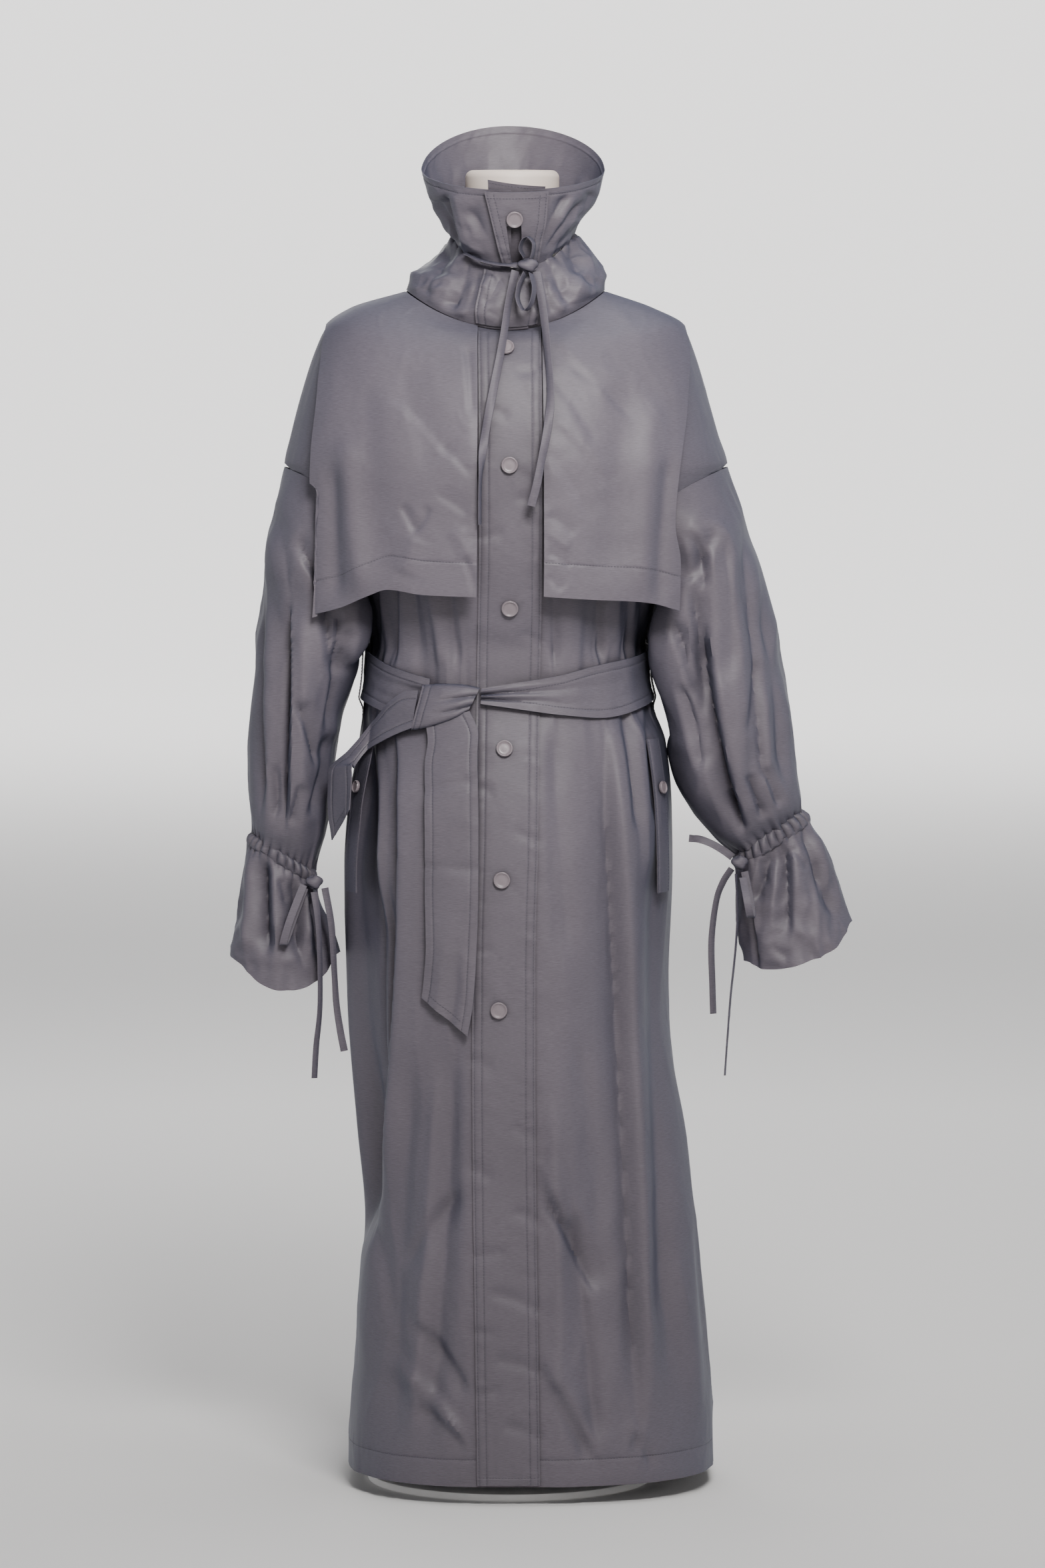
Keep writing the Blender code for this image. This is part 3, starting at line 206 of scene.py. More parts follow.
# Short cross creases where the fly is stitched to the fronts, read on both.
PLACKET_CREASES = [
    (-58, 462, -8, 452, 3, 5, 7, 1.8, 1.4), (8, 398, 40, 380, -4, 6, 5, 1.6, 1.4),
    (-56, 352, -10, 336, 4, 5, 8, 2.2, 1.3), (4, 306, 50, 284, 4, 6, 6, 2.0, 1.4),
    (-52, 262, 4, 266, -4, 5, 6, 2.0, 1.3), (-20, 222, 52, 196, 3, 5, 7, 2.4, 1.3),
    (-56, 190, -8, 180, -3, 6, 5, 2.0, 1.4), (-16, 152, 46, 130, 5, 5, 8, 2.6, 1.3),
    (-54, 118, -4, 124, -4, 6, 5, 2.2, 1.4), (-10, 84, 50, 62, 4, 5, 6, 2.2, 1.3),
    (-44, 566, -8, 576, 3, 5, 6, 1.4, 1.5), (6, 700, 44, 688, -3, 5, 5, 1.4, 1.5),
    (-42, 742, -12, 734, 3, 5, 6, 1.2, 1.5), (10, 900, 38, 888, 3, 4, 6, 1.5, 1.4),
    (-36, 1000, -6, 1008, -3, 5, 5, 1.4, 1.5), (2, 1040, 36, 1030, 3, 4, 6, 1.5, 1.4),
    (-34, 1130, 0, 1122, 3, 5, 5, 1.4, 1.5), (6, 1168, 34, 1176, -3, 4, 5, 1.3, 1.5),
]
LOW_FLY_CREASES = [
    (-8, 1268, -27, 1238, 2, 5, 8, 2.6, 1.3), (4, 1262, -6, 1222, -2, 6, 7, 2.2, 1.4),
    (14, 1264, 30, 1232, 2, 7, 5, 2.4, 1.3), (-18, 1270, -30, 1256, 1, 4, 5, -1.6, 1.3),
    (20, 1242, 30, 1222, 1, 5, 6, -1.6, 1.4), (-24, 1232, -8, 1222, 1, 4, 5, 1.4, 1.4),
]
FLAP_CREASES = {
    "left": [
        (-113, 1034, -97, 1004, 1, 3, 6, 2.4), (-82, 1032, -98, 1004, 1, 6, 3, 2.2),
        (-97, 1003, -112, 962, 2, 10, 14, -2.4, 1.6), (-48, 982, -33, 942, 2, 4, 8, 3.0),
        (-60, 1010, -36, 962, 3, 7, 10, -2.0, 1.3), (-150, 1175, -128, 955, -8, 26, 20, 3.4, 1.9),
        (-118, 1180, -86, 1060, 8, 20, 22, 2.0, 1.9), (-168, 1110, -150, 930, -5, 12, 14, -4.5, 1.8),
        (-184, 1080, -180, 925, 0, 9, 10, 5.1, 1.7), (-46, 1200, -38, 1120, 2, 4, 12, 2.2),
        (-72, 1096, -38, 1062, 2, 4, 11, 1.6), (-76, 1046, -40, 1022, 1, 4, 10, 1.5),
        (-128, 1150, -60, 1080, 6, 5, 16, 1.4),
    ],
    "right": [
        (44, 1204, 104, 1137, 4, 5, 18, -1.8), (40, 1168, 92, 1092, 3, 5, 16, 1.6),
        (44, 1124, 104, 1058, 4, 5, 18, -1.6), (40, 1090, 88, 1014, 2, 6, 16, 1.4),
        (128, 1178, 108, 950, -6, 22, 28, 3.4, 1.9), (152, 1150, 138, 930, -4, 14, 14, -3.4, 1.8),
        (166, 1090, 154, 920, -3, 9, 9, 4, 1.7), (60, 1176, 130, 1118, 4, 3, 9, 1.2),
        (38, 1024, 68, 1002, 1, 3, 9, 1.5), (37, 1004, 62, 988, 1, 3, 7, -1.2),
        (37, 986, 64, 970, 1, 3, 8, 1.5), (37, 962, 54, 944, 1, 3, 8, 1.4),
    ],
}
# Sleeve creases, seen from the front; the back of each sleeve has its own.
SLEEVE_CREASES = {
    "left": [
        (-262, 1000, -262, 690, -2, 5, 4, 9), (-246, 985, -247, 690, -2, 15, 9, 4.5, 1.8),
        (-233, 935, -235, 686, 3, 14, 2.6, 17), (-216, 930, -219, 700, 3, 7, 14, -4, 1.7),
        (-223, 828, -200, 758, 2, 3, 11, 8), (-200, 970, -184, 850, 2, 5, 11, 9),
        (-176, 930, -192, 788, 4, 4, 10, 9), (-188, 796, -208, 702, 5, 5, 11, 9),
        (-166, 905, -180, 850, 2, 4, 6, 5), (-224, 1000, -178, 938, -5, 4, 11, 7),
        (-246, 1030, -228, 900, 3, 8, 12, 5, 1.5), (-218, 742, -230, 696, 1, 3, 7, 5),
        (-252, 760, -246, 700, 0, 3, 6, 4),
    ],
    "right": [
        (202, 912, 246, 682, -9, 12, 3, 17), (216, 860, 238, 730, -1, 7, 12, -5, 1.6),
        (244, 1020, 264, 720, 5, 15, 5, 9, 1.4), (262, 940, 290, 732, 4, 12, 4, 8, 1.3),
        (224, 1000, 232, 850, 3, 9, 7, 5, 1.5), (188, 950, 198, 806, 3, 5, 11, 9),
        (168, 912, 192, 826, 3, 4, 10, 9), (176, 845, 200, 752, 2, 4, 11, 8),
        (190, 1004, 202, 940, 3, 7, 6, 6), (246, 752, 264, 702, 1, 3, 8, 7),
        (265, 758, 282, 714, 1, 3, 7, 6), (226, 730, 246, 688, 1, 5, 5, 6),
        (214, 1010, 180, 950, 5, 11, 5, 6), (262, 872, 246, 790, 2, 4, 10, 4, 1.3),
    ],
}
SLEEVE_BACK_CREASES = {
    "left": [
        (-246, 1020, -256, 700, 5, 12, 7, 8, 1.5), (-228, 1000, -236, 690, 4, 8, 9, -4.5, 1.6),
        (-210, 985, -218, 700, 5, 8, 5, 8, 1.4), (-190, 950, -204, 740, -4, 9, 8, -4, 1.6),
        (-172, 930, -190, 830, 3, 5, 9, 5, 1.4), (-226, 870, -246, 720, 4, 5, 8, 5, 1.4),
        (-200, 1010, -170, 950, 4, 6, 9, 4, 1.4),
    ],
    "right": [
        (236, 1024, 268, 720, 5, 8, 11, 8, 1.5), (216, 1000, 242, 700, 5, 8, 9, -4.5, 1.6),
        (202, 985, 226, 720, -5, 5, 9, 8, 1.4), (184, 940, 206, 760, 4, 9, 8, -4, 1.6),
        (168, 920, 188, 830, 3, 5, 9, 5, 1.4), (242, 880, 270, 740, 4, 5, 8, 5, 1.4),
        (204, 1008, 172, 950, 4, 9, 6, 4, 1.4),
    ],
}

CUFF_CREASES = {
    "left": [
        (-256, 662, -251, 560, -2, 12, 5, 15, 1.3), (-246, 655, -243, 545, 0, 5, 9, -4, 1.5),
        (-226, 642, -222, 560, 2, 9, 4, 8), (-216, 636, -212, 575, 1, 4, 8, -4, 1.4),
        (-205, 628, -199, 556, 0, 5, 6, 7, 1.3), (-270, 668, -276, 560, 0, 6, 9, -5, 1.6),
        (-281, 664, -287, 585, 0, 4, 5, 5, 1.3), (-236, 600, -214, 548, 2, 5, 8, 4),
        (-240, 640, -234, 612, 0, 3, 4, 3), (-210, 622, -205, 600, 0, 3, 4, 3),
    ],
    "right": [
        (288.7, 680, 291, 574, 1, 15, 3.5, 11), (299, 676, 303, 600, 0, 6, 10, -3, 1.6),
        (272, 668, 254, 612, 1, 5, 10, 8, 1.3), (278, 668, 272, 580, 1, 7, 7, -4, 1.6),
        (305, 697, 348, 592, -3, 6, 5, 6), (318, 690, 354, 604, -2, 5, 8, -4, 1.4),
        (321, 660, 326, 614, 1, 3, 5, 4), (271, 572, 292, 552, 1, 4, 7, 3.5, 1.3),
        (250, 606, 259, 545, 0, 10, 2, 6), (293, 672, 312, 650, 1, 3, 5, 3),
        (262, 660, 266, 632, 0, 3, 4, 3.5), (308, 660, 316, 620, 1, 8, 10, 2.5, 1.7),
    ],
}
COLLAR_CREASES = [
    (-70, 1352, -50, 1300, -2, 13, 4, 11), (-58, 1360, -38, 1300, -2, 5, 12, -4),
    (-45, 1338, -12, 1284, 3, 4, 9, 4), (-86, 1346, -62, 1308, 2, 4, 8, 6),
    (-68, 1320, -20, 1284, 2, 4, 6, -3.5), (80, 1346, 34, 1290, -3, 7, 4, 7),
    (62, 1354, 30, 1298, -2, 6, 4, 5), (90, 1334, 44, 1290, -2, 4, 7, 5),
    (70, 1350, 36, 1294, -2, 5, 6, -3.5), (86, 1356, 72, 1322, 2, 6, 7, 5),
]
COLLAR_LOW_CREASES = [
    (-64, 1298, -96, 1246, 4, 14, 7, 7), (-42, 1286, -64, 1228, 3, 12, 6, 6),
    (-78, 1276, -86, 1234, 2, 8, 14, -3.5), (-33, 1276, -46, 1222, 1, 7, 5, 4),
    (62, 1300, 94, 1250, -4, 7, 14, 7), (42, 1286, 68, 1230, -3, 6, 12, 6),
    (76, 1276, 84, 1240, -2, 14, 8, -3.5), (34, 1276, 46, 1222, -1, 5, 7, 4),
]

# Sections of the sleeves and cuffs: in_x, in_z, out_x, out_z, mid_y, deep, dip.
SLEEVES = {
    "left": [
        (150, 962, 257, 986, 0, 84, 0),
        (130, 920, 262, 934, 0, 83, 0),
        (130, 886, 266, 894, -1, 82, 0),
        (160, 856, 268, 860, -2, 80, 0),
        (177, 806, 271, 812, -3, 77, 0),
        (186, 742, 273, 752, -6, 68, 0),
        (193, 690, 272, 708, -9, 54, 0),
        (206, 645, 270, 684, -10, 34, 0),
    ],
    "right": [
        (150, 960, 255, 986, 0, 84, 0),
        (130, 905, 274, 918, 0, 83, 0),
        (132, 862, 283, 868, -1, 81, 0),
        (160, 802, 293, 808, -2, 78, 0),
        (166, 772, 297, 782, -3, 76, 0),
        (180, 728, 302, 744, -6, 68, 0),
        (211, 684, 306, 722, -9, 52, 0),
        (236, 662, 306, 708, -10, 34, 0),
    ],
}
CUFFS = {
    "left": [
        (204, 634, 275, 676, -10, 34, 0),
        (201, 612, 281, 640, -12, 38, 6),
        (193, 585, 286, 602, -13, 41, 20),
        (186, 556, 291, 563, -14, 44, 36),
    ],
    "right": [
        (237, 649, 314, 699, -10, 34, 0),
        (237, 622, 327, 672, -12, 38, 4),
        (239, 586, 341, 632, -13, 42, 12),
        (247, 552, 357, 592, -14, 45, 22),
    ],
}

COLLAR_COLUMNS = "low_front side high_back left right front back power"
COLLAR_LOWER = [
    (1213, 1252, 1266, 107, 98, 75, 68, 2.0),
    (1228, 1264, 1279, 102, 97, 79, 70, 1.9),
    (1247, 1280, 1297, 84, 90, 77, 66, 1.7),
    (1263, 1296, 1314, 67, 79, 69, 59, 1.5),
    (1274, 1309, 1329, 58, 64, 61, 54, 1.4),
]
COLLAR_UPPER = [
    (1275, 1310, 1330, 58, 64, 61, 54, 1.4),
    (1295, 1325, 1352, 70, 74, 69, 64, 1.3),
    (1325, 1350, 1388, 84, 91, 78, 75, 1.15),
    (1356, 1377, 1424, 92, 99, 84, 82, 1.05),
]
COLLAR_GAP = (math.radians(1), math.radians(11))
COLLAR_FLY = {"part": (0.12, 0.985), "left": (-5, -16), "right": (24.5, 23)}
LOW_FLY = {"part": (0.06, 0.86), "centre": -1, "half": (17.5, 23)}

MIDDLE_COLUMNS = "z x"
MIDDLE = [(20, -1), (470, -6), (560, -6), (690, -3), (800, -2), (1000, 1), (1100, 1), (1216, 0)]
BUTTONS = [(513, -5), (647, -4), (781, -3), (927, 0), (1074, -1), (1192, -4)]
BUTTON_SPOT = 10          # mm round a button that give its direction
COLLAR_BUTTON = (3, 0.69) # degrees round the collar, and part of its height
COLLAR_SPOT = (9, 0.14)   # round that button, in the same units
COLLAR_SLOT = (0.26, 0.53, 0.56)      # the open slit under that button: from, to and top, in parts

FLAP_EDGE_COLUMNS = "z left right"
FLAP_EDGE = [(905, 205, 166), (975, 200, 168), (1010, 197, 164), (1060, 198, 168),
             (1130, 195, 178), (1190, 192, 183), (1218, 189, 180)]
FLAP_OVER_SLEEVE = 80
FLAP_HEM_COLUMNS = "x z_left z_right"
FLAP_HEM = [(30, 939, 940), (85, 941, 936), (120, 946, 934),
            (142, 938, 931), (168, 926, 923), (205, 915, 918)]

BELT_COLUMNS = "turn z_top z_low lift"
BELT = [
    (-11, 842, 825, 9), (3, 849, 820, 9), (20, 856, 814, 8), (38, 866, 810, 6), (62, 873, 818, 6),
    (90, 880, 826, 6), (135, 884, 829, 6), (180, 885, 830, 6), (225, 884, 829, 6), (270, 880, 826, 6),
    (290, 873, 822, 6), (306, 864, 815, 6), (319, 857, 808, 6), (328, 852, 806, 6),
]
TAIL_COLUMNS = "a_x a_z b_x b_z off tilt"
TAIL_FRONT = [
    (-86, 806, -41, 820, 10, 0), (-84, 788, -32, 796, 10, 3), (-87, 760, -33, 770, 9, 4),
    (-87, 700, -32, 705, 8, -2), (-87, 640, -32, 640, 7, 3), (-86, 580, -34, 576, 8, -2),
    (-88, 545, -37, 525, 8, 2), (-90, 525, -43, 487, 8, 3),
]
TAIL_SIDE = [
    (-94, 840, -100, 802, 13, 0), (-106, 839, -112, 797, 13, 0), (-122, 829, -130, 788, 14, 2),
    (-141, 806, -150, 774, 16, 8), (-166, 776, -162, 758, 20, 20), (-188, 752, -163, 762, 24, 30),
    (-189, 720, -164, 744, 24, 34), (-185, 682, -166, 716, 22, 34),
]
KNOT_COLUMNS = "top_x top_z low_x low_z off"
KNOT = [(-90, 846, -102, 799, 17), (-70, 847, -84, 803, 18.5),
        (-48, 846, -60, 811, 17), (-31, 843, -43, 820, 12)]

FORM_COLUMNS = "z wide front back"
FORM = [
    (640, 128, 82, 82), (655, 140, 92, 90), (700, 148, 98, 96), (760, 142, 94, 88), (820, 122, 84, 76),
    (870, 112, 80, 70), (930, 120, 90, 78), (1000, 135, 106, 90), (1060, 142, 110, 96), (1120, 148, 100, 98),
    (1165, 158, 84, 88), (1190, 160, 72, 76), (1204, 150, 66, 68), (1216, 124, 62, 61), (1226, 92, 58, 56),
    (1238, 66, 54, 52), (1256, 54, 51, 50), (1290, 51, 50, 50), (1340, 49.5, 49.5, 49.5),
]

# Drawcords: each row of a route is x, y, z in mm and the turn of the tape's width in degrees.
NECK_ROUTES = {
    "run": [(-46, -53, 1291, 35), (-30, -66, 1284, 20), (-10, -73, 1280, 6), (8, -74.5, 1279, -2)],
    "loop_up": [(15, -80, 1287, 65), (11, -82, 1295, 65), (13, -84, 1304, 65), (19, -85, 1308, 65),
                (25, -84, 1302, 65), (25, -82, 1293, 65), (23, -80, 1286, 65)],
    "loop_low": [(16, -84, 1270, 60), (10, -92, 1256, 60), (9, -98, 1243, 60), (15, -102, 1233, 60),
                 (22, -101, 1240, 60), (25, -95, 1255, 60), (22, -86, 1270, 60)],
    "tail_left": [(6, -80, 1273, 20), (-1, -93, 1240, 40), (-7, -110, 1200, 30), (-18, -131, 1145, 10),
                  (-25, -141, 1108, -20), (-29, -152, 1070, 60), (-30, -157, 1040, 70),
                  (-30, -157, 1014, 70)],
    "tail_right": [(28, -80, 1272, 0), (34, -96, 1236, -20), (39, -114, 1190, -40), (42, -134, 1146, -30),
                   (39, -145, 1112, 10), (33, -153, 1080, 30), (28, -157, 1055, 10),
                   (22, -157, 1033, 0)],
}
NECK_KNOT = ((19, -79.5, 1278.5), (9.5, 6, 7))
CUFF_ROUTES = {
    "left": {
        "loop": [(-214, -50, 630, 0), (-223, -55, 606, 0), (-233, -62, 578, 0), (-236, -69, 574, 0),
                 (-229, -68, 598, 0), (-215, -59, 634, 0)],
        "tail_a": [(-204, -52, 626, 20), (-200, -56, 598, 40), (-198, -58, 560, 50), (-198, -58, 505, 50),
                   (-202, -57, 465, 40), (-204, -57, 431, 40)],
        "tail_b": [(-193, -48, 630, 20), (-186, -50, 590, 30), (-183, -50, 540, 40), (-181, -51, 508, 30),
                   (-177, -52, 480, 20), (-173, -52, 459, 10)],
    },
    "right": {
        "stub": [(232.5, -46, 662, 10), (223, -47, 669, 10), (211, -48, 676, 10), (198, -48, 681, 0),
                 (187, -48, 682, 0)],
        "loop": [(245, -53, 647.5, 0), (249, -57, 628, 0), (252, -63, 612, 0), (252, -70, 602, 0),
                 (250, -78, 605, 0), (247, -78, 620, 0), (243, -62, 642, 0)],
        "tail_a": [(232, -46, 650, 20), (223, -47, 636, 24), (216, -48, 616, 34), (211, -50, 575, 30),
                   (212, -50, 530, 30), (213, -50, 498, 30)],
        "tail_b": [(236.5, -54, 645, 70), (238, -62, 610, 72), (236, -66, 570, 74), (231, -66, 520, 74),
                   (228, -65, 480, 76), (225, -64, 435, 76)],
    },
}
CUFF_KNOTS = {"left": ((-204, -49, 636), (8, 6, 7)), "right": ((240, -49, 656.5), (8, 6, 7))}


# ---------------------------------------------------------------- curves and noise
def table(columns, rows):
    """The rows as one array for each named column."""
    values = np.array(rows, dtype=float)
    return {name: values[:, k] for k, name in enumerate(columns.split())}


def smooth(at, xs, ys):
    """A smooth curve through (xs, ys) that doesn't overshoot between rows, read at the places at."""
    at = np.clip(np.asarray(at, dtype=float), xs[0], xs[-1])
    step = np.diff(xs)
    rise = np.diff(ys) / step
    slope = np.concatenate(([rise[0]], np.zeros(len(xs) - 2), [rise[-1]]))
    inner = rise[:-1] * rise[1:]
    slope[1:-1] = np.where(inner > 0, 2 * inner / np.where(inner > 0, rise[:-1] + rise[1:], 1), 0)
    k = np.clip(np.searchsorted(xs, at, side="right") - 1, 0, len(xs) - 2)
    t = (at - xs[k]) / step[k]
    return ((2 * t ** 3 - 3 * t ** 2 + 1) * ys[k] + (t ** 3 - 2 * t ** 2 + t) * step[k] * slope[k]
            + (3 * t ** 2 - 2 * t ** 3) * ys[k + 1] + (t ** 3 - t ** 2) * step[k] * slope[k + 1])


def fade(at, start, end):
    """0 at start, 1 at end, smooth between."""
    t = np.clip((np.asarray(at, dtype=float) - start) / (end - start), 0, 1)
    return t * t * (3 - 2 * t)


def lattice(ix, iy, iz, seed):
    """A fixed number from -1 to 1 for each whole-number place."""
    mixed = (ix * 374761393 + iy * 668265263 + iz * 1442695041 + seed * 974711) & 0xFFFFFFFF
    mixed = ((mixed ^ (mixed >> 13)) * 1274126177) & 0xFFFFFFFF
    mixed = mixed ^ (mixed >> 16)
    return (mixed & 0xFFFFFF) / 0x7FFFFF - 1.0


def noise(place, seed):
    """Smooth noise from -1 to 1 at places [..., 3], one feature to each unit."""
    low = np.floor(place).astype(np.int64)
    part = place - low
    part = part * part * (3 - 2 * part)
    total = 0
    for corner in range(8):
        dx, dy, dz = corner & 1, corner >> 1 & 1, corner >> 2 & 1
        weight = (np.where(dx, part[..., 0], 1 - part[..., 0]) * np.where(dy, part[..., 1], 1 - part[..., 1])
                  * np.where(dz, part[..., 2], 1 - part[..., 2]))
        total = total + weight * lattice(low[..., 0] + dx, low[..., 1] + dy, low[..., 2] + dz, seed)
    return total


def wave(along, seed):
    """Smooth noise from -1 to 1 on a line, one feature to each unit."""
    along = np.asarray(along, dtype=float)
    low = np.floor(along).astype(np.int64)
    part = along - low
    part = part * part * (3 - 2 * part)
    zero = np.zeros_like(low)
    return lattice(low, zero, zero, seed) * (1 - part) + lattice(low + 1, zero, zero, seed) * part


def round_wave(turn, count, seed):
    """As wave, with count features round a ring, so that it closes."""
    along = np.mod(turn / ROUND, 1) * count
    low = np.floor(along).astype(np.int64)
    part = along - low
    part = part * part * (3 - 2 * part)
    zero = np.zeros_like(low)
    return (lattice(np.mod(low, count), zero, zero, seed) * (1 - part)
            + lattice(np.mod(low + 1, count), zero, zero, seed) * part)


def crumple(grid, seed, long_way=2.2, size=1.0):
    """Uneven rolls and faint fold lines that crisp cloth keeps, in mm, from a grid in metres."""
    place = grid / MM / np.array([1, 1, long_way])
    warp = np.stack([noise(place / 55, seed + k) for k in (1, 2, 3)], axis=-1)
    roll = noise(place / 62 + 0.5 * warp, seed + 4)
    line = 1 - 2.2 * np.abs(noise(place / 40 + 0.8 * warp, seed + 5))
    line = np.maximum(line, 0) ** 2
    small = 1 - 2.0 * np.abs(noise(place / 17 + 0.5 * warp, seed + 6))
    small = np.maximum(small, 0) ** 2 * fade(noise(place / 70, seed + 7), -0.2, 0.7)
    return size * (1.1 * roll - 0.75 * line - 0.35 * small)


def facets(grid, seed, size, long_way=1.0):
    """Flat planes with crisp ridges between them, as in creased taffeta, mostly from -0.7 to 1.4."""
    place = grid / MM / np.array([1, 1, long_way])
    warp = np.stack([noise(place / (1.3 * size), seed + k) for k in (1, 2, 3)], axis=-1)
    large = 1 - 2.2 * np.abs(noise(place / size + 0.5 * warp, seed + 4))
    small = 1 - 2.2 * np.abs(noise(place / (0.42 * size) + 0.6 * warp, seed + 5))
    return large + 0.4 * small


def creases(x, z, rows):
    """How far the creases pull the cloth in, in mm, at places in the front view."""
    total = np.zeros_like(x)
    for row in rows:
        crease = {"sharp": CRISP, **dict(zip(CREASE_COLUMNS.split(), row))}
        across = crease["x2"] - crease["x1"]
        down = crease["z2"] - crease["z1"]
        length = math.hypot(across, down)
        along = ((x - crease["x1"]) * across + (z - crease["z1"]) * down) / length ** 2
        off = ((z - crease["z1"]) * across - (x - crease["x1"]) * down) / length
        part = np.clip(along, 0, 1)
        off = off - crease["bend"] * 4 * part * (1 - part)
        width = np.where(off > 0, crease["right"], crease["left"])
        ends = fade(along, -0.02, 0.18) * fade(along, 1.02, 0.8)
        reach = np.abs(off) / width
        crisp = np.maximum(0, 1 - reach / 1.7) ** 1.15
        soft = np.exp(-reach ** crease["sharp"])
        total += crease["depth"] * ends * (crisp if crease["sharp"] < FOLD_LINE else soft)
    return total


# ---------------------------------------------------------------- grids of points
def normals(grid, closed):
    """Unit normals of a grid of points [row, column], out of the side that columns x rows gives."""
    along = np.gradient(grid, axis=0)
    across = (np.roll(grid, -1, axis=1) - np.roll(grid, 1, axis=1)) if closed else np.gradient(grid, axis=1)
    out = np.cross(across, along)
    return out / np.maximum(np.linalg.norm(out, axis=2, keepdims=True), 1e-12)


def moved(grid, distance, closed=False):
    """The grid moved along its normals by a distance, which may differ from point to point."""
    distance = np.asarray(distance, dtype=float)
    if distance.ndim:
        distance = distance[..., None]
    return grid + normals(grid, closed) * distance


def edge_ways(grid):
    """Distance along the cloth, in mm, from each edge of a grid."""
    up = np.linalg.norm(np.diff(grid, axis=0), axis=2) / MM
    across = np.linalg.norm(np.diff(grid, axis=1), axis=2) / MM
    low = np.vstack([np.zeros((1, grid.shape[1])), np.cumsum(up, axis=0)])
    left = np.hstack([np.zeros((grid.shape[0], 1)), np.cumsum(across, axis=1)])
    return {"low": low, "high": low[-1] - low, "left": left, "right": left[:, -1:] - left}


def places(length, step, lines=()):
    """Parts from 0 to 1 of a length in mm, at most a step apart and closer at each stitch line."""
    base = np.linspace(0, length, int(math.ceil(length / step)) + 1)
    extra = np.array([line + k for line in lines for k in (-1.5, -0.6, 0.0, 0.6, 1.5)])
    if len(extra):
        extra = extra[(extra > 0.3) & (extra < length - 0.3)]
        near = np.abs(base[:, None] - extra[None, :]).min(axis=1) < 0.9
        near[[0, -1]] = False
        base = np.sort(np.concatenate([base[~near], extra]))
    return base / length


def pucker(way, line, along, seed, strength=0.55, reach=11, pitch=7.5):
    """Small cross puckers that a row of stitches draws up, with the row's own groove, in mm."""
    off = way - line
    ripple = 0.6 * wave(along / pitch, seed) + 0.4 * wave(along / (0.47 * pitch), seed + 1)
    uneven = 0.65 + 0.35 * wave(along / (6 * pitch), seed + 2)
    return strength * uneven * ripple * np.exp(-np.abs(off) / reach) + 0.6 * np.exp(-(off / 0.9) ** 2)


def line_on(grid, ways, edge, distance, start=0.0, end=1.0):
    """Points on the grid along a line at a distance, in mm, from one of its edges."""
    way = ways[edge]
    if edge in ("low", "high"):
        way = way.T
        grid = grid.transpose(1, 0, 2)
    order = slice(None) if edge in ("low", "left") else slice(None, None, -1)
    points = []
    count = len(grid)
    for k in range(int(start * (count - 1)), int(end * (count - 1)) + 1):
        values = way[k][order]
        if values[-1] < distance:
            continue
        line = grid[k][order]
        points.append([np.interp(distance, values, line[:, axis]) for axis in range(3)])
    return np.array(points)


# ---------------------------------------------------------------- surfaces of the coat
BODY_T = table(BODY_COLUMNS, BODY)
MIDDLE_T = table(MIDDLE_COLUMNS, MIDDLE)


def body_column(name, h):
    """One column of the body's table at heights in mm."""
    return smooth(h, BODY_T["h"], BODY_T[name])


def middle(z):
    """Distance of the placket's middle line from the axis, in mm."""
    return smooth(z, MIDDLE_T["z"], MIDDLE_T["x"])


def squircle(turn, square):
    """Unit section with the given exponent: the sine-like and cosine-like parts."""
    sine = np.sin(turn)
    cosine = np.cos(turn)
    size = (np.abs(sine) ** square + np.abs(cosine) ** square) ** (1 / square)
    return sine / size, cosine / size


def body_surface(turn, h, relief=None):
    """Outer surface of the coat's body, in metres, for angles round it and heights in mm.

    relief(x, y, z, side, turn, cosine) gives how far the cloth is pulled in, in mm."""
    turn, h = np.broadcast_arrays(np.asarray(turn, dtype=float), np.asarray(h, dtype=float))
    sine, cosine = squircle(turn, body_column("square", h))
    wide = np.where(sine > 0, body_column("right", h), body_column("left", h))
    deep = np.where(cosine > 0, body_column("front", h), body_column("back", h))
    x = wide * sine
    y = -deep * cosine
    z = h + np.where(cosine > 0, body_column("dip", h), body_column("rise", h)) * cosine ** 2
    if relief is None:
        return np.stack([x, y, z], axis=-1) * MM
    pull = 1 - relief(x, y, z, np.where(cosine > 0, -1, 1), turn, cosine) / np.maximum(np.hypot(x, y), 1)
    return np.stack([x * pull, y * pull, z], axis=-1) * MM


